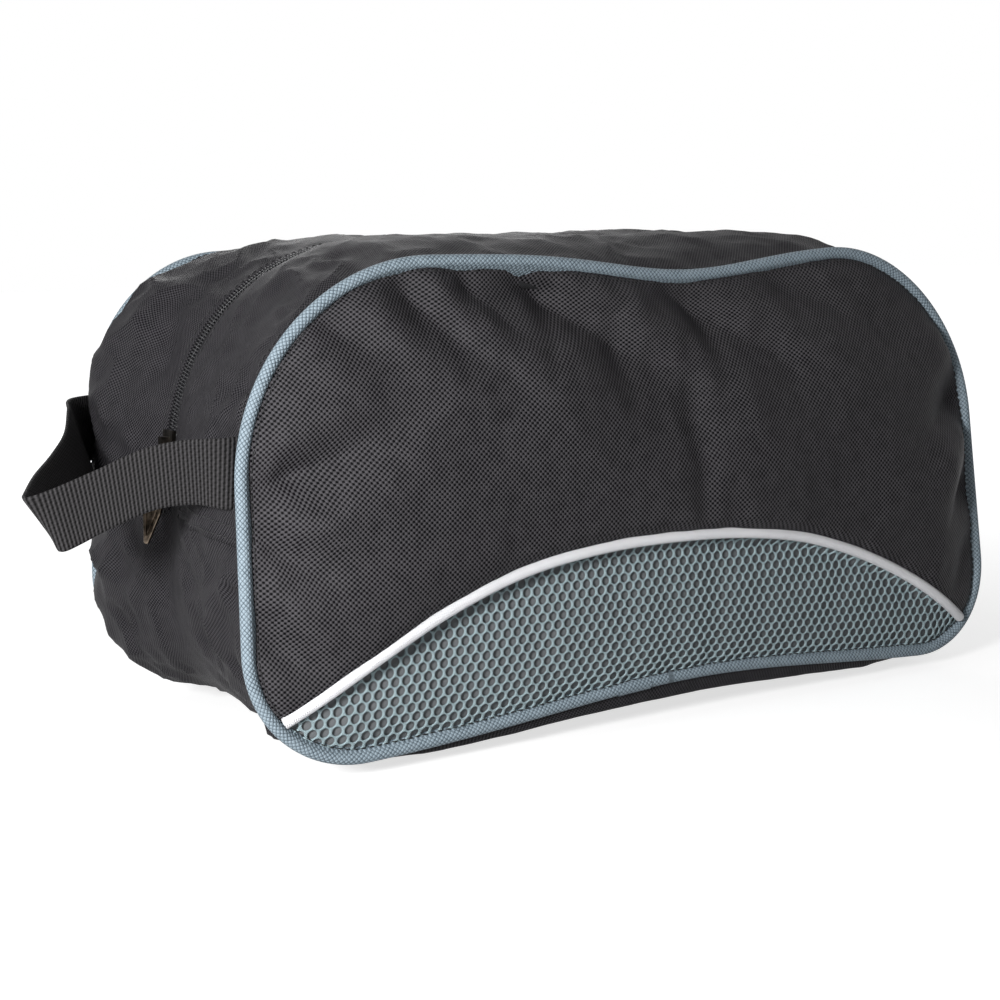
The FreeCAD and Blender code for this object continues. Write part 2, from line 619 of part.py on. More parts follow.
def make_slider():
    slider = slider_body("SliderBody")
    inner_top = f"-({TAPE_BACK} + slider_gap)"
    inner_foot = f"{inner_top} - slider_wall"
    near = "-slider_width / 2"
    curved_plate(slider, PLATE_FOOT, PLATE_TOP, "slider_length", near, "slider_width", "outer")
    curved_plate(slider, inner_foot, PLATE_TOP, "post_length", "-post_width / 2", "post_width",
                 "post")
    curved_plate(slider, inner_foot, inner_top, "slider_length", near, "slider_width", "inner")
    flange_foot = f"-({TAPE_TOP} - slider_gap)"
    inside = f"({COIL_OUTER} + slider_gap)"
    for side, start in (("front", inside), ("back", f"-({inside} + slider_flange)")):
        curved_plate(slider, flange_foot, PLATE_TOP, "slider_length", start, "slider_flange",
                     f"{side}_flange")
    part(slider, "zip_slider_body")

    cap = slider_body("SliderCap")
    curved_plate(cap, PLATE_TOP, CAP_TOP, "cap_length", "-cap_width / 2", "cap_width", "cap")
    eye = sketch_on(cap, "XZ_Plane", "0", "cap_eye")
    centre = f"crown_top_radius + {PIN_LEVEL}"
    hole = eye.addGeometry(Part.Circle(FreeCAD.Vector(-size(centre), 0, 0),
                                       FreeCAD.Vector(0, 0, 1), size("pin_radius + pin_gap")), False)
    bind(eye, Sketcher.Constraint("Radius", hole, size("pin_radius + pin_gap")),
         "pin_radius + pin_gap")
    bind(eye, Sketcher.Constraint("DistanceX", hole, 3, -1, 1, size(centre)), centre)
    eye.addConstraint(Sketcher.Constraint("PointOnObject", hole, 3, -1))
    pocket(cap, eye, "slider_width", "cap_eye_pocket", middle=True)
    way = sketch_on(cap, "XZ_Plane", "0", "cap_way")
    add_rectangle(way, f"-({centre})", f"-(crown_top_radius + {PLATE_TOP} - pin_radius)",
                  "-(pin_radius + pin_gap)", "pin_radius + pin_gap")
    pocket(cap, way, "slider_width", "cap_way_pocket", middle=True)
    part(cap, "zip_slider_bridge")


def make_pull():
    """The pull, hanging from its round bar. Its local Z axis runs up from the tip to the bar."""
    pull = new_body("Pull")
    pull.setExpression("Placement.Base.x", formula(PIN_X))
    pull.setExpression("Placement.Base.z", formula(PIN_Z))
    blade = sketch_on(pull, "YZ_Plane", "-pull_wall / 2", "blade")
    v = FreeCAD.Vector
    wide, narrow = size("pull_width") / 2, size("pull_tip_width") / 2
    length = size("pull_length")
    points = [v(wide, 0, 0), v(-wide, 0, 0), v(-narrow, -length, 0), v(narrow, -length, 0)]
    for i in range(4):
        blade.addGeometry(Part.LineSegment(points[i], points[(i + 1) % 4]), False)
    for i in range(4):
        blade.addConstraint(Sketcher.Constraint("Coincident", i, 2, (i + 1) % 4, 1))
    place_point(blade, 0, 1, "pull_width / 2", "0")
    place_point(blade, 0, 2, "-pull_width / 2", "0")
    place_point(blade, 2, 1, "-pull_tip_width / 2", "-pull_length")
    place_point(blade, 2, 2, "pull_tip_width / 2", "-pull_length")
    pad(pull, blade, "pull_wall", "blade_pad")
    rod = sketch_on(pull, "XZ_Plane", "-pull_width / 2", "rod")
    ring = rod.addGeometry(Part.Circle(v(0, 0, 0), v(0, 0, 1), size("pin_radius")), False)
    rod.addConstraint(Sketcher.Constraint("Coincident", ring, 3, -1, 1))
    bind(rod, Sketcher.Constraint("Radius", ring, size("pin_radius")), "pin_radius")
    pad(pull, rod, "pull_width", "rod_pad")
    window = sketch_on(pull, "YZ_Plane", "0", "window")
    add_rectangle(window, "-pull_window_width / 2", "pull_window_width / 2",
                  "-pull_window", "-pin_radius")
    pocket(pull, window, "4 * pull_wall", "window_pocket", middle=True)
    slot_top = "-(pull_window + pull_bridge)"
    slot = sketch_on(pull, "YZ_Plane", "0", "slot")
    add_rectangle(slot, "-pull_slot_width / 2", "pull_slot_width / 2",
                  f"{slot_top} - pull_slot_length", slot_top)
    pocket(pull, slot, "4 * pull_wall", "slot_pocket", middle=True)
    sharp = pull.Tip
    tip = [f"Edge{i + 1}" for i, edge in enumerate(sharp.Shape.Edges)
           if all(vertex.Z < -length + 1e-3 for vertex in edge.Vertexes)
           and abs(edge.Vertexes[0].Y - edge.Vertexes[-1].Y) < 1e-6]
    rounded = pull.newObject("PartDesign::Fillet", "tip_corners")
    rounded.Base = (sharp, tip)
    rounded.Radius = size("pull_corner")
    rounded.setExpression("Radius", formula("pull_corner"))
    part(pull, "zip_pull")


# ---------------------------------------------------------------- handle
def strap_sketch(body):
    """The strap in plan: two straight runs that meet in a tight fold, seen along its width."""
    made = sketch_on(body, "XY_Plane", "-webbing_width / 2", "strap_plan")
    v = FreeCAD.Vector
    start_x = "handle_hinge"
    inside = -(size("handle_reach") - size("handle_hinge") - size("handle_fold_radius"))
    fold = v(inside, -size("handle_fold_offset"), 0)
    inner, outer = size("handle_fold_radius"), size("handle_fold_radius + webbing_wall")
    roots = [v(size(start_x), side * size(HANDLE_SEAT), 0) for side in (-1, 1)]
    touches, normals = [], []
    for root, side in zip(roots, (-1, 1)):
        away = root - fold
        swing = math.atan2(away.y, away.x) + side * math.acos(inner / away.Length)
        normals.append(v(math.cos(swing), math.sin(swing), 0))
        touches.append(fold + normals[-1] * inner)
    far = [fold + n * outer for n in normals]
    ends = [root + n * (outer - inner) for root, n in zip(roots, normals)]
    angles = [math.atan2(n.y, n.x) for n in normals]
    up = v(0, 0, 1)
    low, high = angles[1], angles[0] + (2 * math.pi if angles[0] < angles[1] else 0)
    made.addGeometry(Part.LineSegment(roots[0], touches[0]), False)
    made.addGeometry(Part.ArcOfCircle(Part.Circle(fold, up, inner), low, high), False)
    made.addGeometry(Part.LineSegment(touches[1], roots[1]), False)
    made.addGeometry(Part.LineSegment(roots[1], ends[1]), False)
    made.addGeometry(Part.LineSegment(ends[1], far[1]), False)
    made.addGeometry(Part.ArcOfCircle(Part.Circle(fold, up, outer), low, high), False)
    made.addGeometry(Part.LineSegment(far[0], ends[0]), False)
    made.addGeometry(Part.LineSegment(ends[0], roots[0]), False)
    for first, end, second, other in ((0, 2, 1, 2), (1, 1, 2, 1), (4, 2, 5, 1), (5, 2, 6, 1)):
        made.addConstraint(Sketcher.Constraint("Tangent", first, end, second, other))
    for first, second in ((2, 3), (3, 4), (6, 7), (7, 0)):
        made.addConstraint(Sketcher.Constraint("Coincident", first, 2, second, 1))
    made.addConstraint(Sketcher.Constraint("Coincident", 1, 3, 5, 3))
    made.addConstraint(Sketcher.Constraint("Perpendicular", 2, 3))
    made.addConstraint(Sketcher.Constraint("Perpendicular", 0, 7))
    bind(made, Sketcher.Constraint("Radius", 1, inner), "handle_fold_radius")
    bind(made, Sketcher.Constraint("Radius", 5, outer), "handle_fold_radius + webbing_wall")
    place_point(made, 1, 3, "-(handle_reach - handle_hinge - handle_fold_radius)",
                "-handle_fold_offset")
    place_point(made, 0, 1, start_x, f"-{HANDLE_SEAT}")
    place_point(made, 2, 2, start_x, HANDLE_SEAT)
    return made


def make_handle():
    strap = new_body("Strap")
    hinge_x = "-(seam_length / 2 + handle_hinge)"
    strap.Placement.Rotation = FreeCAD.Rotation(FreeCAD.Vector(0, 1, 0), -size("handle_droop"))
    strap.setExpression("Placement.Base.x", formula(hinge_x))
    strap.setExpression("Placement.Base.z", formula("handle_level"))
    strap.setExpression("Placement.Rotation.Angle", formula("-handle_droop * 1 deg"))
    pad(strap, strap_sketch(strap), "webbing_width", "strap_pad")

    def drum(name, radius):
        made = doc.addObject("Part::Cylinder", name)
        made.Placement.Rotation = FreeCAD.Rotation(FreeCAD.Vector(1, 0, 0), 90)
        made.setExpression("Radius", formula(radius))
        made.setExpression("Height", formula("2 * seam_depth"))
        made.setExpression("Placement.Base.x", formula(hinge_x))
        made.setExpression("Placement.Base.y", formula("seam_depth"))
        made.setExpression("Placement.Base.z", formula("handle_level"))
        return made

    part(cut("HandleLoop", strap, drum("LoopDrum", "handle_root + handle_joint_gap")),
         "handle_webbing")
    roots = cut("HandleRoots", common("RootZone", strap, drum("RootDrum", "handle_root")),
                barrel("BagEnvelope", "-seam_gap"))
    for name, near, far in (("handle_front_tail", f"-({HEM_START})", "0"),
                            ("handle_back_tail", "0", HEM_START)):
        zone = box(f"{name}_zone", (f"-({REACH})", near, "0"), ("0", far, REACH))
        part(common(f"{name}_piece", roots, zone), name)


# ---------------------------------------------------------------- assembly
def make_pairs():
    """Pieces that the front and the back have alike: the back ones are mirrored."""
    base, front_gusset = make_gusset()
    part(base, "base_gusset")
    pairs = {**make_panels(), **make_piping(), "zip_gusset": front_gusset, **make_zip()}
    for name, made in pairs.items():
        part(made, f"front_{name}")
        part(mirrored(f"back_{name}_piece", made), f"back_{name}")


make_pairs()
make_end_tapes()
make_slider()
make_pull()
make_handle()
doc.recompute()

faults = [o.Name for o in doc.Objects if {"Invalid", "Error"} & set(o.State)]
if faults:
    raise SystemExit(f"failed to recompute: {faults}")
for made in PARTS:
    if made.Shape.isNull() or not made.Shape.isValid() or not made.Shape.Solids:
        raise SystemExit(f"{made.Label} has no valid solid")

os.makedirs("parts", exist_ok=True)
for made in PARTS:
    made.Shape.exportStep(f"parts/{made.Label}.step")
    bounds = made.Shape.BoundBox
    print(f"{made.Label:24s} solids {len(made.Shape.Solids)} volume {made.Shape.Volume:10.1f}"
          f"  x {bounds.XMin:7.1f} {bounds.XMax:7.1f}  y {bounds.YMin:6.1f} {bounds.YMax:6.1f}"
          f"  z {bounds.ZMin:6.1f} {bounds.ZMax:6.1f}")
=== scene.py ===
"""Dresses the shoe bag: soft piped panels, mesh vents, crumpled gusset, zip and webbing handle.

Lengths in this file are millimetres in the frame of the solids, and MM turns them into metres.
The bag's soft shape is worked out once, from the outline that both side panels share, and every
piece of cloth, piping and binding is laid on it.
"""
import math

import bmesh
import bpy
import numpy as np
from mathutils import Matrix, Vector, geometry, noise
from mathutils.bvhtree import BVHTree


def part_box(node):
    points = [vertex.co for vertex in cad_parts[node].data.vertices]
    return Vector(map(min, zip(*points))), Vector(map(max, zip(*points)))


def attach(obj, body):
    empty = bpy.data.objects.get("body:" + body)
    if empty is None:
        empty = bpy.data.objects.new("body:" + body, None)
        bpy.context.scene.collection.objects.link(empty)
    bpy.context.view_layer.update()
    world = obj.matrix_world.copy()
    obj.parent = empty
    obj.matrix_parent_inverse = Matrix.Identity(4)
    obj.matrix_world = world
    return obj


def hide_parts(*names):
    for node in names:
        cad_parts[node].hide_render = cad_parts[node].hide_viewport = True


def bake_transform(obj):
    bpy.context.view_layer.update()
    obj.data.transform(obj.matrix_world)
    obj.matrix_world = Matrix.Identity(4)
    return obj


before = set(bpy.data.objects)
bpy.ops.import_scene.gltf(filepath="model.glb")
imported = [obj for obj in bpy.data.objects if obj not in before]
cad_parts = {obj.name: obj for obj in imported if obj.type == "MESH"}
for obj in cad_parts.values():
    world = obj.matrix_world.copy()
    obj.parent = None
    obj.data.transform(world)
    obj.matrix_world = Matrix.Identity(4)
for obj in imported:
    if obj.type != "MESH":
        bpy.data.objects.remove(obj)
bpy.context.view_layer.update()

MM = 0.001
NAMES = {-1: "front", 1: "back"}    # the two sides, by the sign of their y


def box_mm(node):
    """A node's two corners in millimetres."""
    low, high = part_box(node)
    return np.array(low) / MM, np.array(high) / MM


# ---------------------------------------------------------------- sizes read from the solids
SLEEVE_LOW, SLEEVE_HIGH = box_mm("front_piping_sleeve")
COIL_LOW, COIL_HIGH = box_mm("front_zip_coil")
PIPING_RADIUS = 2.4
HALF = SLEEVE_HIGH[0] - PIPING_RADIUS
LOW = SLEEVE_LOW[2] + PIPING_RADIUS
HIGH = SLEEVE_HIGH[2] - PIPING_RADIUS
CROWN_TOP = HIGH + 7.0     # the gusset's middle line rises over the seams, and ends inside them
CROWN_HALF = HALF - 4.0
ZIP_SEAM = box_mm("front_zip_gusset")[0][2]
ZIP_GAP = 5.5              # from the zip's middle to the edge of the cloth

# ---------------------------------------------------------------- the soft shape
# Corner radii of each outline: right bottom, right top, left top, left bottom.
FRONT_RADII = (40.0, 73.0, 77.0, 43.0)
BACK_RADII = (42.0, 76.0, 58.0, 47.0)
CROWN_RADII = (45.0, 81.0, 81.0, 58.0)
FLARE = 8.7            # how much longer the bag is at its base than at its top, over two
BASE_DEPTH, TOP_DEPTH = 164.4, 128.0
BOW = 7.5              # the front seam bows out in the middle of its length
BACK_BOW = 3.0
FRONT_SAG, BACK_SAG = (8.2, 22.7, 53.0), (3.0, -30.0, 70.0)     # of the top: depth, place, width
FRONT_ARCH, BACK_ARCH = (11.7, 10.7, 103.0), (4.0, 0.0, 90.0)   # of the base: rise, place, width
END_TURN = 7.9         # the front seam's right end comes forward
TWIST = -2.1           # and its ends turn against each other
BACK_SHIFT = 4.0       # the back seam's top stands further back
BACK_LEAN, BACK_LIFT = 2.4, 2.5    # it leans along the bag and hangs a little higher
BULGE = 8.5            # how far the side panels swell past their seams
SEAM_TUCK = 2.2        # how far their edges tuck in behind the piping
ARCH_SPAN, ARCH_SPRING, ARCH_RISE = 164.0, 23.0, 52.0
ARCH_RADIUS = (ARCH_SPAN ** 2 + ARCH_RISE ** 2) / (2 * ARCH_RISE)
ARCH_CENTRE = ARCH_SPRING + ARCH_RISE - ARCH_RADIUS
ARCH_PIPING_RADIUS = 2.2
ARCH_PIPING_ENDS = (2.5 - ARCH_SPAN, ARCH_SPAN - 7.0)
STEP = 2.2             # spacing of the cloth's points
BLOCK = 1500           # points that one array operation works on
CORNER_COUNTS = [60, 30, 23, 60, 81, 60, 23, 30, 60]    # points on each run and corner


def rounded_outline(half, low, high, radii):
    """A rounded rectangle from the middle of its bottom, anticlockwise seen from the front.

    Each run and corner has the same number of points whatever its size, so that two outlines
    match point by point. Returns the points and their outward normals.
    """
    right_low, right_high, left_high, left_low = radii
    knots = [
        ((0, low), (half - right_low, low)),
        ((half - right_low, low + right_low), right_low, -90),
        ((half, low + right_low), (half, high - right_high)),
        ((half - right_high, high - right_high), right_high, 0),
        ((half - right_high, high), (left_high - half, high)),
        ((left_high - half, high - left_high), left_high, 90),
        ((-half, high - left_high), (-half, low + left_low)),
        ((left_low - half, low + left_low), left_low, 180),
        ((left_low - half, low), (0, low)),
    ]
    points, normals = [], []
    for knot, count in zip(knots, CORNER_COUNTS):
        share = np.arange(count)[:, None] / count
        if len(knot) == 2:
            start, end = np.array(knot[0], float), np.array(knot[1], float)
            run = (end - start) / np.linalg.norm(end - start)
            points.append(start + (end - start) * share)
            normals.append(np.repeat([[run[1], -run[0]]], count, 0))
        else:
            centre, radius, start = knot
            angle = np.radians(start + 90 * share[:, 0])
            ray = np.stack([np.cos(angle), np.sin(angle)], 1)
            points.append(np.array(centre) + ray * radius)
            normals.append(ray)
    return np.concatenate(points), np.concatenate(normals)


def bump(x, middle, width):
    """A smooth rise to 1 in the middle."""
    return np.exp(-((x - middle) / width) ** 2)


def fade(distance, reach):
    """A rise from 0 at no distance to nearly 1 past the reach."""
    return 1 - np.exp(-distance / reach)


def unit(rows):
    """Each row of an array, brought to length one."""
    return rows / np.linalg.norm(rows, axis=1)[:, None]


def stand(flat, y=0.0):
    """Flat points or directions stood upright at one depth."""
    return np.stack([flat[:, 0], np.full(len(flat), float(y)), flat[:, 1]], 1)


def seam_sheet(xz, side):
    """The seam's plane as the filled bag stands, for points of the flat outline."""
    x, z = xz[:, 0], xz[:, 1]
    along, up = x / HALF, (z - LOW) / (HIGH - LOW)
    depth = BASE_DEPTH + (TOP_DEPTH - BASE_DEPTH) * up
    top = np.clip(2 * up - 1, 0, 1) ** 2
    base = np.clip(1 - 2 * up, 0, 1) ** 2
    (sag, *sag_place), (rise, *rise_place) = ((FRONT_SAG, FRONT_ARCH) if side < 0
                                              else (BACK_SAG, BACK_ARCH))
    z = z - sag * bump(x, *sag_place) * top + rise * bump(x, *rise_place) * base
    x = x * (1 + FLARE * (0.5 - up) / HALF)
    if side < 0:
        y = -depth / 2 - BOW * (1 - along ** 2) + TWIST * along * (up - 0.5)
        return np.stack([x, y - END_TURN * np.clip(along, 0, 1) ** 2, z], 1)
    y = depth / 2 + BACK_SHIFT * up + BACK_BOW * (1 - along ** 2)
    return np.stack([x + BACK_LEAN * (1 - 2 * up), y, z + BACK_LIFT], 1)


def outline_distance(xz, loop):
    """Distance of flat points from a closed loop, in blocks to keep it light."""
    start, end = loop, np.roll(loop, -1, 0)
    run = end - start
    best = np.empty(len(xz))
    for i in range(0, len(xz), BLOCK):
        part = xz[i:i + BLOCK, None, :]
        share = np.clip(((part - start) * run).sum(2) / (run * run).sum(1), 0, 1)
        gap = part - (start + run * share[:, :, None])
        best[i:i + BLOCK] = np.sqrt((gap ** 2).sum(2)).min(1)
    return best


def arch_height(x):
    """Height of the arch seam: an arc, fuller at its left and lower at its right end."""
    arc = ARCH_CENTRE + np.sqrt(np.maximum(ARCH_RADIUS ** 2 - x ** 2, 0))
    return arc + 3.5 * bump(x, -75.0, 55.0) - 7.0 * np.clip((x - 60) / 100, 0, 1)


def rough(points, scale, seed):
    """Smooth noise between -1 and 1 at each point."""
    place = Vector((seed * 17.3, seed * 5.1, seed * 9.7))
    return np.array([noise.noise(Vector(p) / scale + place) for p in points])


def rough_shift(points, scales, seed):
    """Smooth noise of its own scale for each of the three directions."""
    return np.stack([rough(points, scale, seed + k) for k, scale in enumerate(scales)], 1)


def folds(points, scale, seed):
    """Sharp-edged facets, as crumpled cloth has: 1 along the ridges, 0 between them."""
    shift = rough_shift(points, [scale * 1.6] * 3, seed)
    return 1 - np.abs(rough(points + shift * scale * 0.5, scale, seed + 5)) * 2.2


# Folds pinched into the front panel: start and end on the flat outline, width and depth.
CREASES = [
    ((-112.0, 181.0), (-74.0, 138.0), 8.0, 8.4),
    ((-86.0, 183.0), (-50.0, 140.0), 8.0, 7.0),
    ((-62.0, 183.0), (6.0, 134.0), 13.0, 11.9),
    ((-145.0, 172.0), (-120.0, 146.0), 7.0, 6.44),
    ((-173.0, 107.0), (-116.0, 123.0), 9.0, 9.8),
    ((-174.0, 99.0), (-146.0, 74.0), 7.0, 9.1),
    ((-173.0, 60.0), (-144.0, 40.0), 7.5, 5.6),
    ((10.0, 180.0), (80.0, 130.0), 15.0, 9.8),
    ((62.0, 184.0), (120.0, 144.0), 13.0, 7.0),
    ((172.0, 120.0), (124.0, 100.0), 11.0, 7.0),
    ((172.0, 84.0), (132.0, 58.0), 10.0, 5.6),
]


def crease_height(xz):
    """How deep the folds press the panel in: each starts at a seam and runs out in the cloth."""
    total = np.zeros(len(xz))
    for start, end, width, depth in CREASES:
        start, end = np.array(start), np.array(end)
        length = np.linalg.norm(end - start)
        run = (end - start) / length
        along = (xz - start) @ run / length
        across = (xz - start) @ np.array([-run[1], run[0]])
        across = across + 0.25 * width * np.sin(along * 4.0)
        taper = np.clip(1.3 - along, 0, 1) * np.clip(1 + along * 6, 0, 1)
        wave = across / width
        sharp = np.exp(-1.3 * np.sqrt(wave ** 2 + 0.01))
        valley = (0.65 * sharp + 0.35 * np.exp(-wave ** 2)
                  - 0.35 * np.exp(-(np.abs(wave) - 1.9) ** 2))
        total -= depth * taper ** 1.3 * valley
    return total


SETTLED = {}           # what the cloth simulations moved, by the name of the sheet
GUSSET_REACH = 75.0    # nominal distance of the seams from the zip
GUSSET_EDGE = 0.985    # share of that distance where the gusset's cloth ends, behind the piping
CORNER_PUFF = 2.6      # how far the gusset swells past the piping at its low left corners
BASE_WALL = 0.08       # share of the gusset that drops steeply beside the base's seams
WALL_LEAN = 0.25       # how much of its share of the depth that steep part uses up
FLOOR_CLEARANCE = 0.8  # the gusset's outer face stays this far above the floor plane


def panel_surface(xz, side, loop, lift=0.0, crumple=1.0):
    """The side panel's outer face over points of the flat outline, lifted by an amount."""
    base = seam_sheet(xz, side)
    edge = outline_distance(xz, loop)
    in_mesh = np.clip((arch_height(xz[:, 0]) - xz[:, 1]) / 10 + 0.5, 0, 1)
    if side in SETTLED and crumple:
        base = base + SETTLED[side].shift(xz) * (1 - 0.8 * in_mesh)[:, None]
    up = (xz[:, 1] - LOW) / (HIGH - LOW)
    along = xz[:, 0] / HALF
    swell = 0.3 * fade(edge, 3.5) + 0.25 * fade(edge, 11.0) + 0.45 * fade(edge, 45.0)
    swell = swell * (1.0 + 0.2 * (1 - up)) * (1 - 0.25 * along ** 2)
    height = (BULGE + SEAM_TUCK) * swell - SEAM_TUCK
    flat = stand(xz, 50.0 * side)
    waves = (rough(flat, 50.0, 3) * 3.2 + (folds(flat, 60.0, 11) - 0.5) * 2.4
             + folds(flat, 21.0, 23) * 0.35) * fade(edge, 9.0) * (1 - 0.9 * in_mesh)
    pucker = rough(flat, 9.0, 41) * 0.7 * np.exp(-((edge - 6.0) / 7.0) ** 2)
    height = height + crumple * (waves + pucker) + lift
    if side < 0:
        height = height + crumple * crease_height(xz) * fade(edge ** 2, 64.0)
    base[:, 1] += side * height
    return base


class Bag:
    """The bag's matching outlines: front seam, crown and back seam, point by point."""

    def __init__(self):
        self.flat, self.seam, self.normal = {}, {}, {}
        for side, radii in ((-1, FRONT_RADII), (1, BACK_RADII)):
            self.flat[side], normal = rounded_outline(HALF, LOW, HIGH, radii)
            self.seam[side] = seam_sheet(self.flat[side], side)
            self.normal[side] = stand(normal)
        crown, normal = rounded_outline(CROWN_HALF, 0.0, CROWN_TOP, CROWN_RADII)
        self.crown, self.crown_normal = stand(crown), stand(normal)
        steps = np.linalg.norm(np.diff(self.crown, axis=0, append=self.crown[:1]), axis=1)
        self.arc = np.concatenate([[0], np.cumsum(steps)[:-1]])
        self.ends = {"left": crown[:, 0] < 0, "right": crown[:, 0] > 0}

    def crumples(self, points):
        """The gusset's folds at points of it: strongest at its ends, and none at the zip."""
        ends = np.clip((np.abs(points[:, 0]) - 95) / 50, 0, 1)
        zip_clear = np.clip((np.abs(points[:, 1]) - 4) / 16, 0, 1)
        waves = ((folds(points, 34.0, 61) - 0.55) * 2.2 + (folds(points, 15.0, 71) - 0.5) * 1.3
                 + rough(points, 7.0, 81) * 0.25)
        return (0.5 + 1.0 * ends) * zip_clear * waves

    def puff(self, rows, depths):
        """How far the full bag swells the gusset out: most at the back of its left end."""
        normal = self.crown_normal[rows]
        near, behind = np.abs(depths)[None, :], (depths > 0)[None, :]
        sideways = np.clip((-normal[:, 0] - 0.45) / 0.4, 0, 1)[:, None]
        corner = (np.clip(4 * normal[:, 0] * normal[:, 2], 0, 1) * (normal[:, 2] < 0))[:, None]
        even = 1.4 * (1 - 1.6 * corner)
        swell = (even + sideways * np.where(behind, 9.6, 1.4)) * np.sin(
            np.pi * near ** np.where(behind, 1.8, 0.9))
        return swell + CORNER_PUFF * corner * ~behind * np.sin(np.pi * near ** 12)

    def gusset(self, rows, depths, lift=0.0, crumple=1.0):
        """Points of the gusset for outline rows and signed depths from the zip, -1 to 1.

        Its two ends and top curve from seam to seam through the crown. Near the floor it drops
        steeply beside the seams and then sags to the middle of the base.
        """
        crown = self.crown[rows]
        share = np.abs(depths)[None, :, None]
        seam = np.where(depths[None, :, None] < 0, self.seam[-1][rows, None],
                        self.seam[1][rows, None])
        near_floor = np.clip(1 - crown[:, 2] / 14, 0, 1) * np.clip(
            (140 - np.abs(crown[:, 0])) / 40, 0, 1)
        near_floor = near_floor[:, None, None]
        wall = np.clip((1 - share) / BASE_WALL, 0, 1)
        drop = 0.42 * wall ** 0.8 + 0.58 * (1 - share) ** 0.9
        level = (1 - near_floor) * (1 - share ** 2.6) + near_floor * drop
        points = seam * (1 - level) + crown[:, None] * level
        steep = np.where(wall < 1, 1 - WALL_LEAN * (1 - share),
                         share * (1 - WALL_LEAN * BASE_WALL) / (1 - BASE_WALL))
        spread = (1 - near_floor) * share + near_floor * steep
        points[:, :, 1] = (seam * spread)[:, :, 1]
        waves = crumple * self.crumples(points.reshape(-1, 3)).reshape(points.shape[:2])
        swell = waves * (1 - 0.8 * near_floor[..., 0]) + self.puff(rows, depths) + lift
        points = points + self.crown_normal[rows, None] * swell[..., None]
        if "gusset" in SETTLED and crumple:
            across, along = np.meshgrid(depths * GUSSET_REACH, self.arc[rows])
            flat = np.stack([along.ravel(), across.ravel()], 1)
            points = points + SETTLED["gusset"].shift(flat).reshape(points.shape)
        points[:, :, 2] = np.maximum(points[:, :, 2], FLOOR_CLEARANCE)
        return points


BAG = Bag()


# ---------------------------------------------------------------- making meshes
def make_object(name, points, faces, uv=None, smooth=True):
    """A mesh object from points in millimetres. The UV map holds millimetres along the cloth."""
    mesh = bpy.data.meshes.new(name)
    mesh.from_pydata([tuple(p) for p in np.asarray(points) * MM], [], [tuple(f) for f in faces])
    mesh.update()
    if uv is not None:
        layer = mesh.uv_layers.new(name="cloth")
        corners = np.empty(len(mesh.loops), int)
        mesh.loops.foreach_get("vertex_index", corners)
        layer.data.foreach_set("uv", (np.asarray(uv)[corners] * 0.01).ravel())
    if smooth:
        mesh.polygons.foreach_set("use_smooth", [True] * len(mesh.polygons))
    made = bpy.data.objects.new(name, mesh)
    bpy.context.scene.collection.objects.link(made)
    return made


def finish_piece(made, material, body="root", replaces=()):
    """Gives a piece its material, slot and body, and hides the solids that it stands for."""
    made.data.materials.append(MATERIAL[material])
    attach(made, body)
    if replaces:
        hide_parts(*replaces)


def thicken(made, thickness, offset=-1.0):
    shell = made.modifiers.new("Thickness", "SOLIDIFY")
    shell.thickness = thickness * MM
    shell.offset = offset


def soften(made):
    smooth = made.modifiers.new("Round", "SUBSURF")
    smooth.levels = smooth.render_levels = 1


def faced(faces, side):
    """The faces as they are for the front, and turned over for the back."""
    return faces if side < 0 else [tuple(reversed(face)) for face in faces]


def grid_faces(rows, columns, close_rows=False):
    """Quads over a grid of points, laid row by row."""
    index = np.arange(rows * columns).reshape(rows, columns)
    if close_rows:
        index = np.concatenate([index, index[:1]], 0)
    a, b = index[:-1, :-1], index[:-1, 1:]
    c, d = index[1:, 1:], index[1:, :-1]
    return np.stack([a, b, c, d], -1).reshape(-1, 4)


def ring_faces(rings, count):
    """Quads between rings of points that each close on themselves."""
    faces = [tuple(face) for face in grid_faces(rings, count)]
    for ring in range(rings - 1):
        faces.append((ring * count + count - 1, ring * count, (ring + 1) * count,
                      (ring + 1) * count + count - 1))
    return faces


def inside(points, loop):
    """True for the flat points inside a closed loop."""
    start, end = loop, np.roll(loop, -1, 0)
    drop = np.where(end[:, 1] == start[:, 1], 1e-9, end[:, 1] - start[:, 1])
    slope = (end[:, 0] - start[:, 0]) / drop
    found = np.zeros(len(points), bool)
    for i in range(0, len(points), BLOCK):
        x, z = points[i:i + BLOCK, 0:1], points[i:i + BLOCK, 1:2]
        spans = (start[:, 1] > z) != (end[:, 1] > z)
        cross = start[:, 0] + (z - start[:, 1]) * slope
        found[i:i + BLOCK] = (spans & (x < cross)).sum(1) % 2 == 1
    return found


def lattice(loop, step, rise):
    """Flat points in staggered rows over the box of a loop."""
    low, high = loop.min(0), loop.max(0)
    rows = []
    for i, z in enumerate(np.arange(low[1], high[1], rise)):
        x = np.arange(low[0] + (i % 2) * step / 2, high[0], step)
        rows.append(np.stack([x, np.full(len(x), z)], 1))
    return np.concatenate(rows)


def patch(loop, step=STEP):
    """Triangles that fill a flat loop evenly: its own points, and a lattice inside it."""
    filling = lattice(loop, step, step * 0.87)
    filling = filling[inside(filling, loop)]
    filling = filling[outline_distance(filling, loop) > step * 0.55]
    points = [Vector(p) for p in loop] + [Vector(p) for p in filling]
    made = geometry.delaunay_2d_cdt(points, [], [list(range(len(loop)))], 1, 1e-6)
    return np.array([tuple(p) for p in made[0]]), made[2]


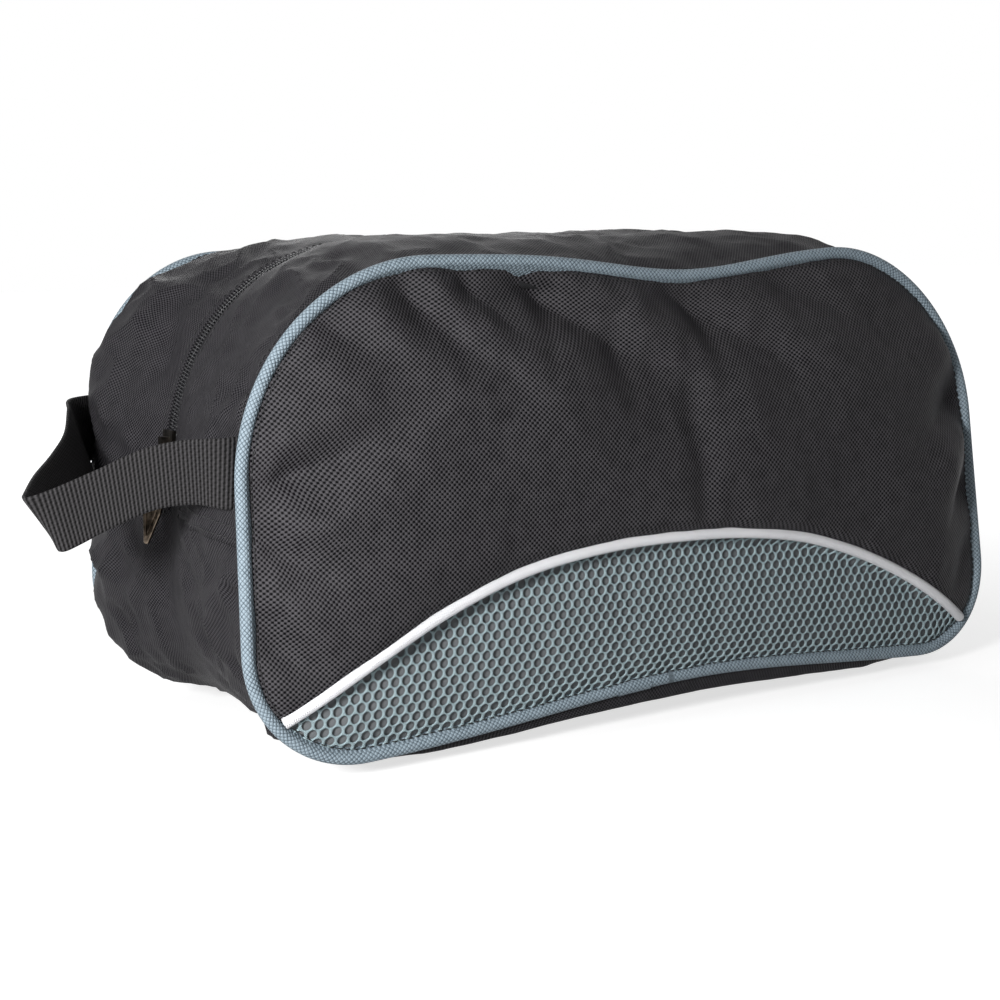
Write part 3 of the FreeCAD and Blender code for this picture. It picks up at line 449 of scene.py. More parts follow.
def resample(line, step, closed=False):
    """The same polyline with evenly spaced points."""
    line = np.asarray(line, float)
    if closed:
        line = np.concatenate([line, line[:1]])
    reach = np.concatenate([[0], np.cumsum(np.linalg.norm(np.diff(line, axis=0), axis=1))])
    count = max(2, int(round(reach[-1] / step)) + 1)
    at = np.linspace(0, reach[-1], count)[:-1] if closed else np.linspace(0, reach[-1], count)
    return np.stack([np.interp(at, reach, line[:, k]) for k in range(line.shape[1])], 1)


def spline(knots, step):
    """A smooth line through given points, evenly sampled."""
    knots = np.asarray(knots, float)
    ends = np.concatenate([[2 * knots[0] - knots[1]], knots, [2 * knots[-1] - knots[-2]]])
    line = []
    for i in range(1, len(ends) - 2):
        before, start, end, after = ends[i - 1:i + 3]
        for share in np.linspace(0, 1, 24, endpoint=False):
            line.append(0.5 * (2 * start + (end - before) * share
                               + (2 * before - 5 * start + 4 * end - after) * share ** 2
                               + (3 * start - before - 3 * end + after) * share ** 3))
    line.append(knots[-1])
    return resample(line, step)


def turned_frame(run, outward):
    """Three square directions along a line: its run, outward made square to it, and across."""
    run = unit(run)
    outward = unit(outward - run * (outward * run).sum(1)[:, None])
    return run, outward, np.cross(run, outward)


def sweep(name, line, outward, section, closed=True):
    """A bar along a line. The section's first axis follows outward, and its second the side."""
    line, section = np.asarray(line), np.asarray(section, float)
    if closed:
        run = np.roll(line, -1, 0) - np.roll(line, 1, 0)
    else:
        run = np.gradient(line, axis=0)
    run, outward, across = turned_frame(run, outward)
    points = (line[:, None] + outward[:, None] * section[None, :, :1]
              + across[:, None] * section[None, :, 1:])
    rows, columns = points.shape[:2]
    steps = np.linalg.norm(np.diff(line, axis=0, prepend=line[:1]), axis=1)
    rim = np.linalg.norm(np.diff(section, axis=0, append=section[:1]), axis=1)
    girth = np.concatenate([[0], np.cumsum(rim)])
    points = np.concatenate([points, points[:, :1]], 1).reshape(-1, 3)
    uv = np.stack(np.meshgrid(np.cumsum(steps), girth, indexing="ij"), -1).reshape(-1, 2)
    faces = grid_faces(rows, columns + 1, close_rows=closed)
    made = make_object(name, points, faces, uv)
    weld(made)
    return made


def join(groups):
    """One mesh's points and faces from several."""
    points, faces, first = [], [], 0
    for some_points, some_faces in groups:
        points.append(np.asarray(some_points, float))
        faces.extend(tuple(int(i) + first for i in face) for face in some_faces)
        first += len(some_points)
    return np.concatenate(points), faces


def weld(made, distance=0.0005):
    """Joins doubled points, such as those where a round section closes on itself."""
    work = bmesh.new()
    work.from_mesh(made.data)
    bmesh.ops.remove_doubles(work, verts=work.verts, dist=distance * MM)
    work.to_mesh(made.data)
    work.free()


def circle(radius, count=12):
    angle = np.linspace(0, 2 * np.pi, count, endpoint=False)
    return np.stack([np.cos(angle), np.sin(angle)], 1) * radius


# ---------------------------------------------------------------- materials
def new_material(name, color, roughness, metallic=0.0, specular=0.5):
    made = bpy.data.materials.new(name)
    made.use_nodes = True
    shader = made.node_tree.nodes["Principled BSDF"]
    shader.inputs["Base Color"].default_value = (*color, 1)
    shader.inputs["Roughness"].default_value = roughness
    shader.inputs["Metallic"].default_value = metallic
    shader.inputs["Specular IOR Level"].default_value = specular
    return made, made.node_tree, shader


def math_node(tree, operation, *values):
    """A sum of numbers and sockets. Numbers are set on the node's own sockets."""
    made = tree.nodes.new("ShaderNodeMath")
    made.operation = operation
    for slot, value in zip(made.inputs, values):
        if isinstance(value, (int, float)):
            slot.default_value = value
        else:
            tree.links.new(value, slot)
    return made.outputs[0]


def seen_directly(tree):
    """1 for what the camera sees, also by way of gloss or glass, and 0 for other light."""
    path = tree.nodes.new("ShaderNodeLightPath")
    return math_node(tree, "MAXIMUM", path.outputs["Is Camera Ray"],
                     math_node(tree, "MAXIMUM", path.outputs["Is Glossy Ray"],
                               path.outputs["Is Transmission Ray"]))


def cloth_axes(tree):
    """The cloth's own two directions in millimetres, from the UV map."""
    uv = tree.nodes.new("ShaderNodeUVMap")
    uv.uv_map = "cloth"
    split = tree.nodes.new("ShaderNodeSeparateXYZ")
    tree.links.new(uv.outputs[0], split.inputs[0])
    return (math_node(tree, "MULTIPLY", split.outputs[0], 100.0),
            math_node(tree, "MULTIPLY", split.outputs[1], 100.0))


def wave(tree, axis, pitch):
    """A cosine along one direction of the cloth, between -1 and 1."""
    return math_node(tree, "COSINE", math_node(tree, "MULTIPLY", axis, 2 * math.pi / pitch))


def ramp(tree, value, stops):
    """A colour for each value, between stops of position and colour."""
    made = tree.nodes.new("ShaderNodeValToRGB")
    elements = made.color_ramp.elements
    elements[0].position, elements[0].color = stops[0][0], (*stops[0][1], 1)
    elements[1].position, elements[1].color = stops[-1][0], (*stops[-1][1], 1)
    for position, color in stops[1:-1]:
        elements.new(position).color = (*color, 1)
    tree.links.new(value, made.inputs[0])
    return made.outputs[0]


def bumped(tree, shader, height, strength, distance):
    made = tree.nodes.new("ShaderNodeBump")
    made.inputs["Strength"].default_value = strength
    made.inputs["Distance"].default_value = distance * MM
    tree.links.new(height, made.inputs["Height"])
    tree.links.new(made.outputs[0], shader.inputs["Normal"])


def object_noise(tree, scale_mm, detail=2.0):
    """Noise over the piece's own place, between 0 and 1."""
    coords = tree.nodes.new("ShaderNodeTexCoord")
    made = tree.nodes.new("ShaderNodeTexNoise")
    made.inputs["Scale"].default_value = 1 / (scale_mm * MM)
    made.inputs["Detail"].default_value = detail
    tree.links.new(coords.outputs["Object"], made.inputs["Vector"])
    return made.outputs[0]


def basket_weave(name, dark, light, pitch, roughness, specular, strength):
    """Close cloth whose floats bump its face, with painted glints: the light that the floats catch is
    painted into its colour as a lattice of small lighter dots.
    """
    made, tree, shader = new_material(name, dark, roughness, specular=specular)
    across, along = cloth_axes(tree)
    checks = math_node(tree, "MULTIPLY", wave(tree, across, pitch), wave(tree, along, pitch))
    dots = math_node(tree, "MULTIPLY_ADD", checks, 0.5, 0.5)
    # painted glints: the weave's dots, made lighter in the colour below, stand in for the light that
    # its floats catch
    painted_glints = math_node(tree, "MULTIPLY", dots,
                       math_node(tree, "MULTIPLY_ADD", object_noise(tree, 6.0), 0.6, 0.7))
    tree.links.new(ramp(tree, painted_glints, [(0.22, dark), (0.75, light), (1.0, light)]),
                   shader.inputs["Base Color"])
    fine = math_node(tree, "MULTIPLY", object_noise(tree, 1.2), 0.35)
    bumped(tree, shader, math_node(tree, "ADD", dots, fine), strength, 0.25)
    worn = math_node(tree, "MULTIPLY_ADD", object_noise(tree, 30.0), 0.16, roughness - 0.08)
    tree.links.new(worn, shader.inputs["Roughness"])
    return made


def bias_weave(name, dark, light, pitch, roughness):
    """Tape cut on the bias: its threads run slantwise round the piping."""
    made, tree, shader = new_material(name, light, roughness, specular=0.2)
    along, round_way = cloth_axes(tree)
    slant = math_node(tree, "ADD", along, round_way)
    other = math_node(tree, "SUBTRACT", along, round_way)
    threads = math_node(tree, "MULTIPLY", wave(tree, slant, 2 * pitch),
                        wave(tree, other, 2 * pitch))
    lumps = math_node(tree, "ABSOLUTE", threads)
    mottled = math_node(tree, "MULTIPLY_ADD", object_noise(tree, 3.0), 0.4, -0.2)
    tree.links.new(ramp(tree, math_node(tree, "ADD", lumps, mottled),
                        [(0.0, dark), (0.45, light), (1.0, light)]), shader.inputs["Base Color"])
    bumped(tree, shader, lumps, 0.8, 0.3)
    return made


def ribbed_webbing(name, dark, light):
    """Webbing with ribs across its width and a fine warp along it."""
    made, tree, shader = new_material(name, dark, 0.62, specular=0.08)
    along, across = cloth_axes(tree)
    ribs = wave(tree, along, 1.5)
    warp = wave(tree, across, 1.1)
    shift = wave(tree, math_node(tree, "ADD", along, math_node(tree, "MULTIPLY", across, 1.36)),
                 3.0)
    height = math_node(tree, "MULTIPLY_ADD", ribs, 0.34, 0.45)
    height = math_node(tree, "MULTIPLY_ADD", warp, 0.05, height)
    height = math_node(tree, "MULTIPLY_ADD", shift, 0.08, height)
    tree.links.new(ramp(tree, height, [(0.1, dark), (0.9, light)]), shader.inputs["Base Color"])
    bumped(tree, shader, height, 0.9, 0.4)
    return made


def plain_thread(name, color, roughness, specular=0.3):
    """Nylon or thread of one colour, a little uneven."""
    made, tree, shader = new_material(name, color, roughness, specular=specular)
    bumped(tree, shader, object_noise(tree, 0.5), 0.4, 0.1)
    return made


def worn_metal(name, dark, bright, roughness):
    """Plated zinc: darker in its hollows, brighter where it has rubbed."""
    made, tree, shader = new_material(name, bright, roughness, metallic=1.0)
    shade = object_noise(tree, 2.5, 4.0)
    tree.links.new(ramp(tree, shade, [(0.3, dark), (0.7, bright)]), shader.inputs["Base Color"])
    worn = math_node(tree, "MULTIPLY_ADD", object_noise(tree, 0.6), 0.2, roughness - 0.1)
    tree.links.new(worn, shader.inputs["Roughness"])
    bumped(tree, shader, shade, 0.15, 0.1)
    return made


def make_materials():
    """Each finish of the bag by its name. Cloths take a dark, a light and the weave's pitch; in the
    basket weaves the light colour is painted glint on the floats.
    """
    return {
        # the basket weaves' light colours are painted glints on the floats, over the cloth's dark
        # ground
        "panel": basket_weave("panel_cloth", (0.0015, 0.0015, 0.002), (0.066, 0.063, 0.068),
                              1.9, 0.45, 0.035, 1.1),
        "gusset": basket_weave("gusset_cloth", (0.003, 0.003, 0.004), (0.046, 0.044, 0.048),
                               1.35, 0.45, 0.03, 1.0),
        "net": bias_weave("net_thread", (0.20, 0.265, 0.285), (0.34, 0.435, 0.465), 0.9, 0.6),
        "backing": basket_weave("backing_cloth", (0.11, 0.116, 0.122), (0.18, 0.187, 0.194),
                                0.9, 0.8, 0.1, 0.4),
        "grey": bias_weave("grey_piping_tape", (0.06, 0.082, 0.10), (0.26, 0.32, 0.365), 1.9, 0.6),
        "white": bias_weave("white_piping_tape", (0.72, 0.72, 0.75), (0.84, 0.84, 0.86), 0.9, 0.5),
        "webbing": ribbed_webbing("black_webbing", (0.001, 0.001, 0.001), (0.052, 0.050, 0.052)),
        "tape": basket_weave("zip_tape_cloth", (0.010, 0.010, 0.011), (0.030, 0.030, 0.033),
                             0.9, 0.7, 0.06, 0.5),
        "binding": basket_weave("binding_cloth", (0.012, 0.012, 0.013), (0.03, 0.03, 0.032),
                                0.8, 0.7, 0.06, 0.4),
        "coil": plain_thread("black_nylon", (0.010, 0.010, 0.012), 0.3, 0.5),
        "thread": plain_thread("black_thread", (0.012, 0.012, 0.013), 0.5),
        "cord": plain_thread("filler_cord_plastic", (0.6, 0.6, 0.58), 0.5),
        "slider": worn_metal("gunmetal", (0.02, 0.018, 0.016), (0.10, 0.09, 0.08), 0.35),
        "pull": worn_metal("antique_bronze", (0.035, 0.027, 0.020), (0.24, 0.19, 0.145), 0.33),
    }


MATERIAL = make_materials()


# ---------------------------------------------------------------- settling the cloth
class Settled:
    """How far each point of a flat sheet moved when its cloth settled."""

    def __init__(self, flat, faces, shift):
        self.flat = [Vector((p[0], p[1], 0)) for p in flat]
        self.move = [Vector(m) for m in shift]
        self.faces = [tuple(face) for face in faces]
        self.tree = BVHTree.FromPolygons(self.flat, self.faces)

    def shift(self, flat):
        """The shift at any flat points, in millimetres."""
        found = []
        for point in flat:
            spot, _, face, _ = self.tree.find_nearest(Vector((point[0], point[1], 0)))
            a, b, c = self.faces[face][:3]
            found.append(geometry.barycentric_transform(
                spot, self.flat[a], self.flat[b], self.flat[c],
                self.move[a], self.move[b], self.move[c]))
        return np.array(found)


def relax(values, faces, free, rounds):
    """Evens out values over a mesh of triangles, where it is free to move."""
    faces = np.asarray(faces)
    pairs = np.concatenate([faces[:, [0, 1]], faces[:, [1, 2]], faces[:, [2, 0]]])
    pairs = np.concatenate([pairs, pairs[:, ::-1]])
    count = np.bincount(pairs[:, 0], minlength=len(values))[:, None]
    for _ in range(rounds):
        total = np.zeros_like(values)
        np.add.at(total, pairs[:, 0], values[pairs[:, 1]])
        values = np.where(free[:, None], 0.5 * values + 0.5 * total / np.maximum(count, 1), values)
    return values


SETTLING_SCALE = 10.0   # the sheets settle at ten times their size, which Cloth handles better
SETTLING_FRAMES = 30


def settle(points, faces, pinned, slack, spare, pressure, reach):
    """Lets a sheet of cloth settle from its seams, and returns how far each point moved.

    Slack is 0 to 1 for each point, and spare is the share of extra cloth at no and at full slack.
    No point moves further than the reach.
    """
    sheet = make_object("settling", points * SETTLING_SCALE, faces)
    for name, weights in (("pinned", pinned.astype(float)), ("slack", slack)):
        group = sheet.vertex_groups.new(name=name)
        for index, weight in enumerate(weights):
            group.add([index], float(weight), "REPLACE")
    cloth = sheet.modifiers.new("Cloth", "CLOTH")
    rules = cloth.settings
    rules.quality = 6
    rules.mass = 0.3
    rules.tension_stiffness = rules.compression_stiffness = 20
    rules.shear_stiffness = 8
    rules.bending_stiffness = 0.15
    rules.air_damping = 2
    rules.vertex_group_mass = "pinned"
    rules.vertex_group_shrink = "slack"
    rules.shrink_min, rules.shrink_max = -spare[0], -spare[1]
    rules.use_pressure = True
    rules.uniform_pressure_force = pressure
    rules.effector_weights.gravity = 0
    cloth.point_cache.frame_end = SETTLING_FRAMES
    for frame_number in range(1, SETTLING_FRAMES + 1):
        bpy.context.scene.frame_set(frame_number)
    view = bpy.context.evaluated_depsgraph_get()
    result = sheet.evaluated_get(view).to_mesh()
    places = np.empty(len(result.vertices) * 3)
    result.vertices.foreach_get("co", places)
    moved = places.reshape(-1, 3) / (MM * SETTLING_SCALE) - points
    bpy.data.objects.remove(sheet)
    bpy.context.scene.frame_set(1)
    length = np.linalg.norm(moved, axis=1)[:, None]
    moved = moved * np.minimum(1, reach / np.maximum(length, 1e-6))
    return relax(moved, faces, ~pinned, 2)


PANEL_SPARE = (0.03, 0.12)
PANEL_STEP = 4.2        # spacing of the settling mesh
PANEL_INSET = 1.2       # the panel's cloth ends this far inside the seam's own line


def settle_panel(side):
    """The cloth of one side panel, sewn in all round, with more spare cloth at its top and ends."""
    flat = BAG.flat[side]
    loop = resample(shrink_loop(flat, PANEL_INSET), PANEL_STEP, closed=True)
    xz, faces = patch(loop, PANEL_STEP)
    edge = outline_distance(xz, loop)
    points = panel_surface(xz, side, flat, crumple=0.0)
    points = points + (rough_shift(points, (25.0, 20.0, 25.0), 90) * (1, side, 1)
                       * np.clip(edge, 0, 8)[:, None] * 0.06)
    high = np.clip((xz[:, 1] - arch_height(xz[:, 0])) / 40, 0, 1)
    left = np.clip((-xz[:, 0] - 40) / 90, 0, 1)
    slack = np.clip(high * (0.35 + 0.5 * left + 0.4 * (rough(points, 60.0, 93) + 0.2)), 0, 1)
    faces = faced(faces, side)
    moved = settle(points, faces, edge < 0.5, slack, PANEL_SPARE, 1.0, 14.0)
    SETTLED[side] = Settled(xz, faces, moved)


GUSSET_SPARE = (0.01, 0.10)
GUSSET_STRIDE = 2       # rows of the outline to one row of the settling mesh
GUSSET_COLUMNS = 37


def settle_gusset():
    """The gusset's cloth, held at both seams, along the zip and at the base, slackest at its ends."""
    rows = np.arange(0, len(BAG.arc), GUSSET_STRIDE)
    depths = np.linspace(-GUSSET_EDGE, GUSSET_EDGE, GUSSET_COLUMNS)
    points = BAG.gusset(rows, depths, crumple=0.0).reshape(-1, 3)
    quads = grid_faces(len(rows), GUSSET_COLUMNS)
    flip = (quads[:, :1] // GUSSET_COLUMNS + quads[:, :1] % GUSSET_COLUMNS) % 2 == 0
    one = np.where(flip, quads[:, [0, 1, 2]], quads[:, [0, 1, 3]])
    two = np.where(flip, quads[:, [0, 2, 3]], quads[:, [1, 2, 3]])
    faces = np.concatenate([one, two])
    across = np.abs(np.tile(depths, len(rows)))
    height = np.repeat(BAG.crown[rows, 2], GUSSET_COLUMNS)
    zipped = (across * GUSSET_REACH < 9) & (height > ZIP_SEAM - 4)
    pinned = (across > 0.95) | zipped | (height < 2.5)
    pinned[:GUSSET_COLUMNS] = pinned[-GUSSET_COLUMNS:] = True
    ends = np.clip((np.abs(points[:, 0]) - 80) / 70, 0, 1)
    slack = np.where(points[:, 0] < 0, 1.0, 0.6) * ends + 0.15
    points = points + rough_shift(points, (14.0, 14.0, 14.0), 95) * 0.6 * (~pinned)[:, None]
    moved = settle(points, faces, pinned, np.clip(slack, 0, 1), GUSSET_SPARE, 0.6, 8.0)
    flat = np.stack([np.repeat(BAG.arc[rows], GUSSET_COLUMNS),
                     np.tile(depths, len(rows)) * GUSSET_REACH], 1)
    SETTLED["gusset"] = Settled(flat, faces, moved)


# ---------------------------------------------------------------- side panels
def panel_loops(flat):
    """The two flat loops that the arch divides a panel into: the fabric and the mesh."""
    rim = shrink_loop(flat, PANEL_INSET)
    above = rim[:, 1] > arch_height(rim[:, 0])
    left, right = np.nonzero(above)[0][[-1, 0]]
    fabric_rim = rim[right:left + 1]
    mesh_rim = np.concatenate([rim[left + 1:], rim[:right]])
    x = np.arange(mesh_rim[0, 0] + STEP, mesh_rim[-1, 0] - STEP / 2, STEP)
    arch = np.stack([x, arch_height(x)], 1)
    return np.concatenate([fabric_rim, arch]), np.concatenate([mesh_rim, arch[::-1]])


def shrink_loop(flat, amount):
    """A flat loop moved inwards."""
    run = unit(np.roll(flat, -1, 0) - np.roll(flat, 1, 0))
    return flat - np.stack([run[:, 1], -run[:, 0]], 1) * amount


NET_PITCH = 4.3        # distance between the net's holes along a row
NET_STRAND = 0.70      # width of the strands between them
HOLE_SHAPE = (0.94, 1.12)   # the holes are a little narrow and tall


def net_cells(loop):
    """Flat points and faces of an open hexagonal net over a loop."""
    centres = lattice(loop, NET_PITCH, NET_PITCH * math.sqrt(3) / 2)
    keep = inside(centres, loop) | (outline_distance(centres, loop) < 0.5)
    angle = np.radians(np.arange(12) * 30 + 30)
    ray = np.stack([np.cos(angle), np.sin(angle)], 1)
    reach = np.where(np.arange(12) % 2 == 0, NET_PITCH / math.sqrt(3), NET_PITCH / 2)
    outer = ray * reach[:, None]
    hole = ray * (NET_PITCH - NET_STRAND) / 2 * np.array(HOLE_SHAPE)
    cell = np.concatenate([outer, hole])
    walls = [(k, (k + 1) % 12, (k + 1) % 12 + 12, k + 12) for k in range(12)]
    return join([(centre + cell, walls) for centre in centres[keep]])


def make_panel(side):
    """One side: its fabric above the arch, the net and its lining below, and the arch's piping."""
    name, flat = NAMES[side], BAG.flat[side]
    settle_panel(side)
    fabric_loop, mesh_loop = panel_loops(flat)

    def lay(label, cut, lift):
        """A flat sheet laid on the panel's surface."""
        points, faces = cut
        surface = panel_surface(points, side, flat, lift)
        return make_object(f"{name}_{label}", surface, faced(faces, side), points)

    cloth = lay("panel_cloth", patch(fabric_loop), 0.0)
    thicken(cloth, 0.8)
    finish_piece(cloth, "panel", replaces=[f"{name}_panel"])
    lining = lay("mesh_lining", patch(mesh_loop), -1.3)
    thicken(lining, 0.5)
    finish_piece(lining, "backing", replaces=[f"{name}_mesh_backing"])
    net = lay("mesh_net", net_cells(mesh_loop), 0.0)
    weld(net, 0.15)
    thicken(net, 0.75)
    soften(net)
    finish_piece(net, "net", replaces=[f"{name}_mesh"])

    x = np.linspace(*ARCH_PIPING_ENDS, 170)
    arch = np.stack([x, arch_height(x)], 1)
    line = smoothed(panel_surface(arch, side, flat, 1.0), 9)
    outward = np.repeat([[0.0, float(side), 0.0]], len(line), 0)
    piping = sweep(f"{name}_arch_piping", line, outward, circle(ARCH_PIPING_RADIUS, 14),
                   closed=False)
    finish_piece(piping, "white", replaces=[f"{name}_arc_piping"])


def smoothed(line, width, rounds=3):
    """An open line evened out along its length, with its ends kept."""
    kernel = np.ones(width) / width
    for _ in range(rounds):
        wide = np.pad(line, ((width // 2, width // 2), (0, 0)), mode="reflect",
                      reflect_type="odd")
        line = np.stack([np.convolve(wide[:, k], kernel, "valid") for k in range(3)], 1)
    return line


FLANGE_REACH = 9.0     # how far the piping's flange points into the seam
FLANGE_LEAN = 5.0      # how far it leans towards the inside of the bag
CORD_RADIUS = 1.3
JOINT_ROWS = (-12, -4)      # where the piping's ends overlap, near the middle of the base
# The binding tape's section, folded round the flange's edge.
BINDING = [(-0.6, -2.2), (-0.6, 2.2), (3.2, 2.2), (3.2, 1.8), (-0.2, 1.8), (-0.2, -1.8),
           (3.2, -1.8), (3.2, -2.2)]


def sleeve_section(side):
    """A round sleeve with its flange, which points into the seam and towards the inside."""
    angle = np.radians(np.linspace(-160, 160, 18))
    ring = np.stack([np.cos(angle), np.sin(angle)], 1) * PIPING_RADIUS
    inward = -side * FLANGE_LEAN
    return np.concatenate([ring, [[-FLANGE_REACH, inward + 0.4], [-FLANGE_REACH, inward - 0.4]]])


def make_piping(side):
    """The grey piping round one side: its sleeve, filler cord, binding and overlapped joint."""
    name, line, outward = NAMES[side], BAG.seam[side], BAG.normal[side]
    sleeve = sweep(f"{name}_grey_piping", line, outward, sleeve_section(side))
    finish_piece(sleeve, "grey", replaces=[f"{name}_piping_sleeve"])
    cord = sweep(f"{name}_filler_cord", line, outward, circle(CORD_RADIUS, 8))
    finish_piece(cord, "cord", replaces=[f"{name}_piping_cord"])
    inner = line - outward * (FLANGE_REACH + 0.6) - np.array([0, side * FLANGE_LEAN, 0])
    binding = sweep(f"{name}_binding", inner, outward, BINDING)
    finish_piece(binding, "binding", replaces=[f"{name}_seam_binding"])
    rows = np.arange(*JOINT_ROWS)
    joint = sweep(f"{name}_piping_joint", line[rows], outward[rows],
                  circle(PIPING_RADIUS + 0.35, 14), closed=False)
    finish_piece(joint, "grey")


# ---------------------------------------------------------------- gusset
GUSSET_THICKNESS = 0.7
END_SEAM_EDGE = 0.93   # share of the gusset's reach that the seams of its ends run to


def gusset_rows(part):
    """Rows of the outline that belong to the zip gusset or to the base gusset."""
    height = BAG.crown[:, 2]
    count = len(height)
    if part == "zip":
        return np.nonzero(height >= ZIP_SEAM - 3)[0]
    low = np.nonzero(height < ZIP_SEAM + 5)[0]
    split = np.nonzero(np.diff(low) > 1)[0][0] + 1
    return np.concatenate([low[split:], low[:split] + count]) % count


def zip_edge_share(side):
    """The zip slot's edge as a share of the way from the zip to the seam."""
    return ZIP_GAP / np.abs(BAG.seam[side][:, 1]).mean()


def lay_gusset(name, points, rows, depths, thickness):
    """Cloth over a grid of the gusset's points."""
    arc = np.unwrap(BAG.arc[rows], period=BAG.arc[-1] + STEP)
    uv = np.stack(np.meshgrid(arc, depths * GUSSET_REACH, indexing="ij"), -1).reshape(-1, 2)
    faces = grid_faces(*points.shape[:2])
    if depths[-1] < depths[0]:
        faces = faces[:, ::-1]
    made = make_object(name, points.reshape(-1, 3), faces, uv)
    thicken(made, thickness)
    return made


def make_gusset():
    """The two halves along the zip, each with its edge turned under, and the base with both ends."""
    settle_gusset()
    rows = gusset_rows("zip")
    normal = BAG.crown_normal[rows]
    for side, name in NAMES.items():
        depths = side * np.linspace(zip_edge_share(side), GUSSET_EDGE, 34)
        points = BAG.gusset(rows, depths)
        tucked = points[:, 0] - normal * 1.6 + np.array([0, side * 0.4, 0])
        turned = points[:, 0] - normal * 1.9 + np.array([0, side * 5.0, 0])
        points = np.concatenate([turned[:, None], tucked[:, None], points], 1)
        marks = np.concatenate([[depths[0] + side * 0.07, depths[0] + side * 0.01], depths])
        made = lay_gusset(f"{name}_zip_gusset_cloth", points, rows, marks, GUSSET_THICKNESS)
        finish_piece(made, "gusset", replaces=[f"{name}_zip_gusset"])
    rows = gusset_rows("base")
    depths = GUSSET_EDGE * np.sin(np.linspace(-np.pi / 2, np.pi / 2, 84))
    points = BAG.gusset(rows, depths, lift=-0.5)
    made = lay_gusset("base_gusset_cloth", points, rows, depths, GUSSET_THICKNESS)
    finish_piece(made, "gusset", replaces=["base_gusset"])


def make_end_tapes():
    """The tapes inside the seams between the zip's gusset and the base's."""
    for name, end in BAG.ends.items():
        rows = np.nonzero(end & (np.abs(BAG.crown[:, 2] - ZIP_SEAM) < 7))[0]
        depths = np.linspace(-END_SEAM_EDGE, END_SEAM_EDGE, 40)
        points = BAG.gusset(rows, depths, lift=-3.0)
        made = lay_gusset(f"{name}_end_tape", points, rows, depths, 0.4)
        finish_piece(made, "binding", replaces=[f"{name}_end_seam_tape"])


# ---------------------------------------------------------------- zip
COIL_PITCH, COIL_WIRE = 1.35, 0.34     # distance between the turns, and the wire's radius
COIL_RISE = 1.0        # half of the coil's height over its wire


def make_coils():
    """Two nylon coils, each a flattened helix whose turns lock at the middle."""
    rows = np.nonzero(BAG.crown[:, 2] >= COIL_LOW[2])[0]
    both = np.concatenate([BAG.crown[rows], BAG.crown_normal[rows]], 1)
    both = resample(both, COIL_PITCH / 10)
    line, normals = both[:, :3], both[:, 3:]
    middle = (COIL_LOW[1] + COIL_HIGH[1]) / 2
    half_width = (COIL_HIGH[1] - COIL_LOW[1]) / 2
    reach = np.concatenate([[0], np.cumsum(np.linalg.norm(np.diff(line, axis=0), axis=1))])
    for side, name in NAMES.items():
        turn = 2 * math.pi * reach / COIL_PITCH + (math.pi if side > 0 else 0)
        rise = (COIL_RISE - COIL_WIRE) * np.sin(turn) - 0.3
        path = line + normals * rise[:, None]
        path[:, 1] += side * abs(middle) + (half_width - COIL_WIRE) * np.cos(turn)
        made = sweep(f"{name}_nylon_coil", path, normals, circle(COIL_WIRE, 6), closed=False)
        finish_piece(made, "coil", replaces=[f"{name}_zip_coil"])


def dress_cad(node_name, material):
    """Gives a solid that stays its finish."""
    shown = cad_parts[node_name]
    shown.data.materials.clear()
    shown.data.materials.append(MATERIAL[material])


# ---------------------------------------------------------------- pull
PULL_PIN = (-172.1, 0.0, 115.88)         # the middle of its top bar, under the slider's bridge
PULL_SWING, PULL_TWIST = 16.0, 30.0      # degrees, as it lies against the cloth
PULL_ASIDE = 0.10                        # how far it hangs aside, over its length
PULL_LENGTH, PULL_HALF = 37.5, 4.25      # its length from the pin, and half its width
PULL_RIM, PULL_GROOVE = 1.35, 0.6        # widths of its raised rim and of the groove inside
ARM_ASIDE, BAR_REACH = 3.3, 3.9          # its two arms and the bar between them


def pull_outline(inset):
    """The pull's blade: straight sides that run to a blunt point, moved in by an amount."""
    half, tip = PULL_HALF - inset, 0.9
    top, shoulder, end = -6.5 - inset, -25.0, -PULL_LENGTH + inset * 2.1
    tip = max(tip - inset * 0.4, 0.15)
    return [(-half, top), (-half, shoulder), (-tip, end), (tip, end), (half, shoulder),
            (half, top)]


def rounded_loop(corners, radius, count=4):
    """A closed loop whose corners are cut with small arcs."""
    loop = []
    for k, corner in enumerate(corners):
        here = np.array(corner, float)
        before, after = np.array(corners[k - 1], float), np.array(corners[(k + 1) % len(corners)])
        into, out = before - here, after - here
        reach = min(radius, np.linalg.norm(into) * 0.4, np.linalg.norm(out) * 0.4)
        start = here + into / np.linalg.norm(into) * reach
        end = here + out / np.linalg.norm(out) * reach
        for share in np.linspace(0, 1, count):
            loop.append((1 - share) ** 2 * start + 2 * share * (1 - share) * here
                        + share ** 2 * end)
    return np.array(loop)


def pull_rings():
    """Loops from the middle of one face over the rim to the middle of the other."""
    field = PULL_RIM + PULL_GROOVE
    steps = [(field + 0.5, 0.55), (field, 0.45), (field - 0.05, 0.1), (PULL_RIM + 0.05, 0.1),
             (PULL_RIM, 0.55), (PULL_RIM - 0.25, 0.75), (0.25, 0.75), (0.0, 0.5)]
    steps = steps + [(inset, -level) for inset, level in reversed(steps)]
    return [(rounded_loop(pull_outline(inset), 1.2), level) for inset, level in steps]


def bar(start, end, radius, count=12):
    """Points and faces of a round bar with softened ends."""
    start, end = np.array(start, float), np.array(end, float)
    length = np.linalg.norm(end - start)
    run = (end - start) / length
    side = np.cross(run, [0.31, 0.5, 0.81])
    side = side / np.linalg.norm(side)
    up = np.cross(run, side)
    points = []
    for at, size in ((0, 0.0), (0, 0.6), (0.35, 1.0), (length - 0.35, 1.0), (length, 0.6),
                     (length, 0.0)):
        ring = circle(radius * max(size, 0.02), count)
        points.append(start + run * at + ring[:, :1] * side + ring[:, 1:] * up)
    return np.concatenate(points), ring_faces(len(points), count)


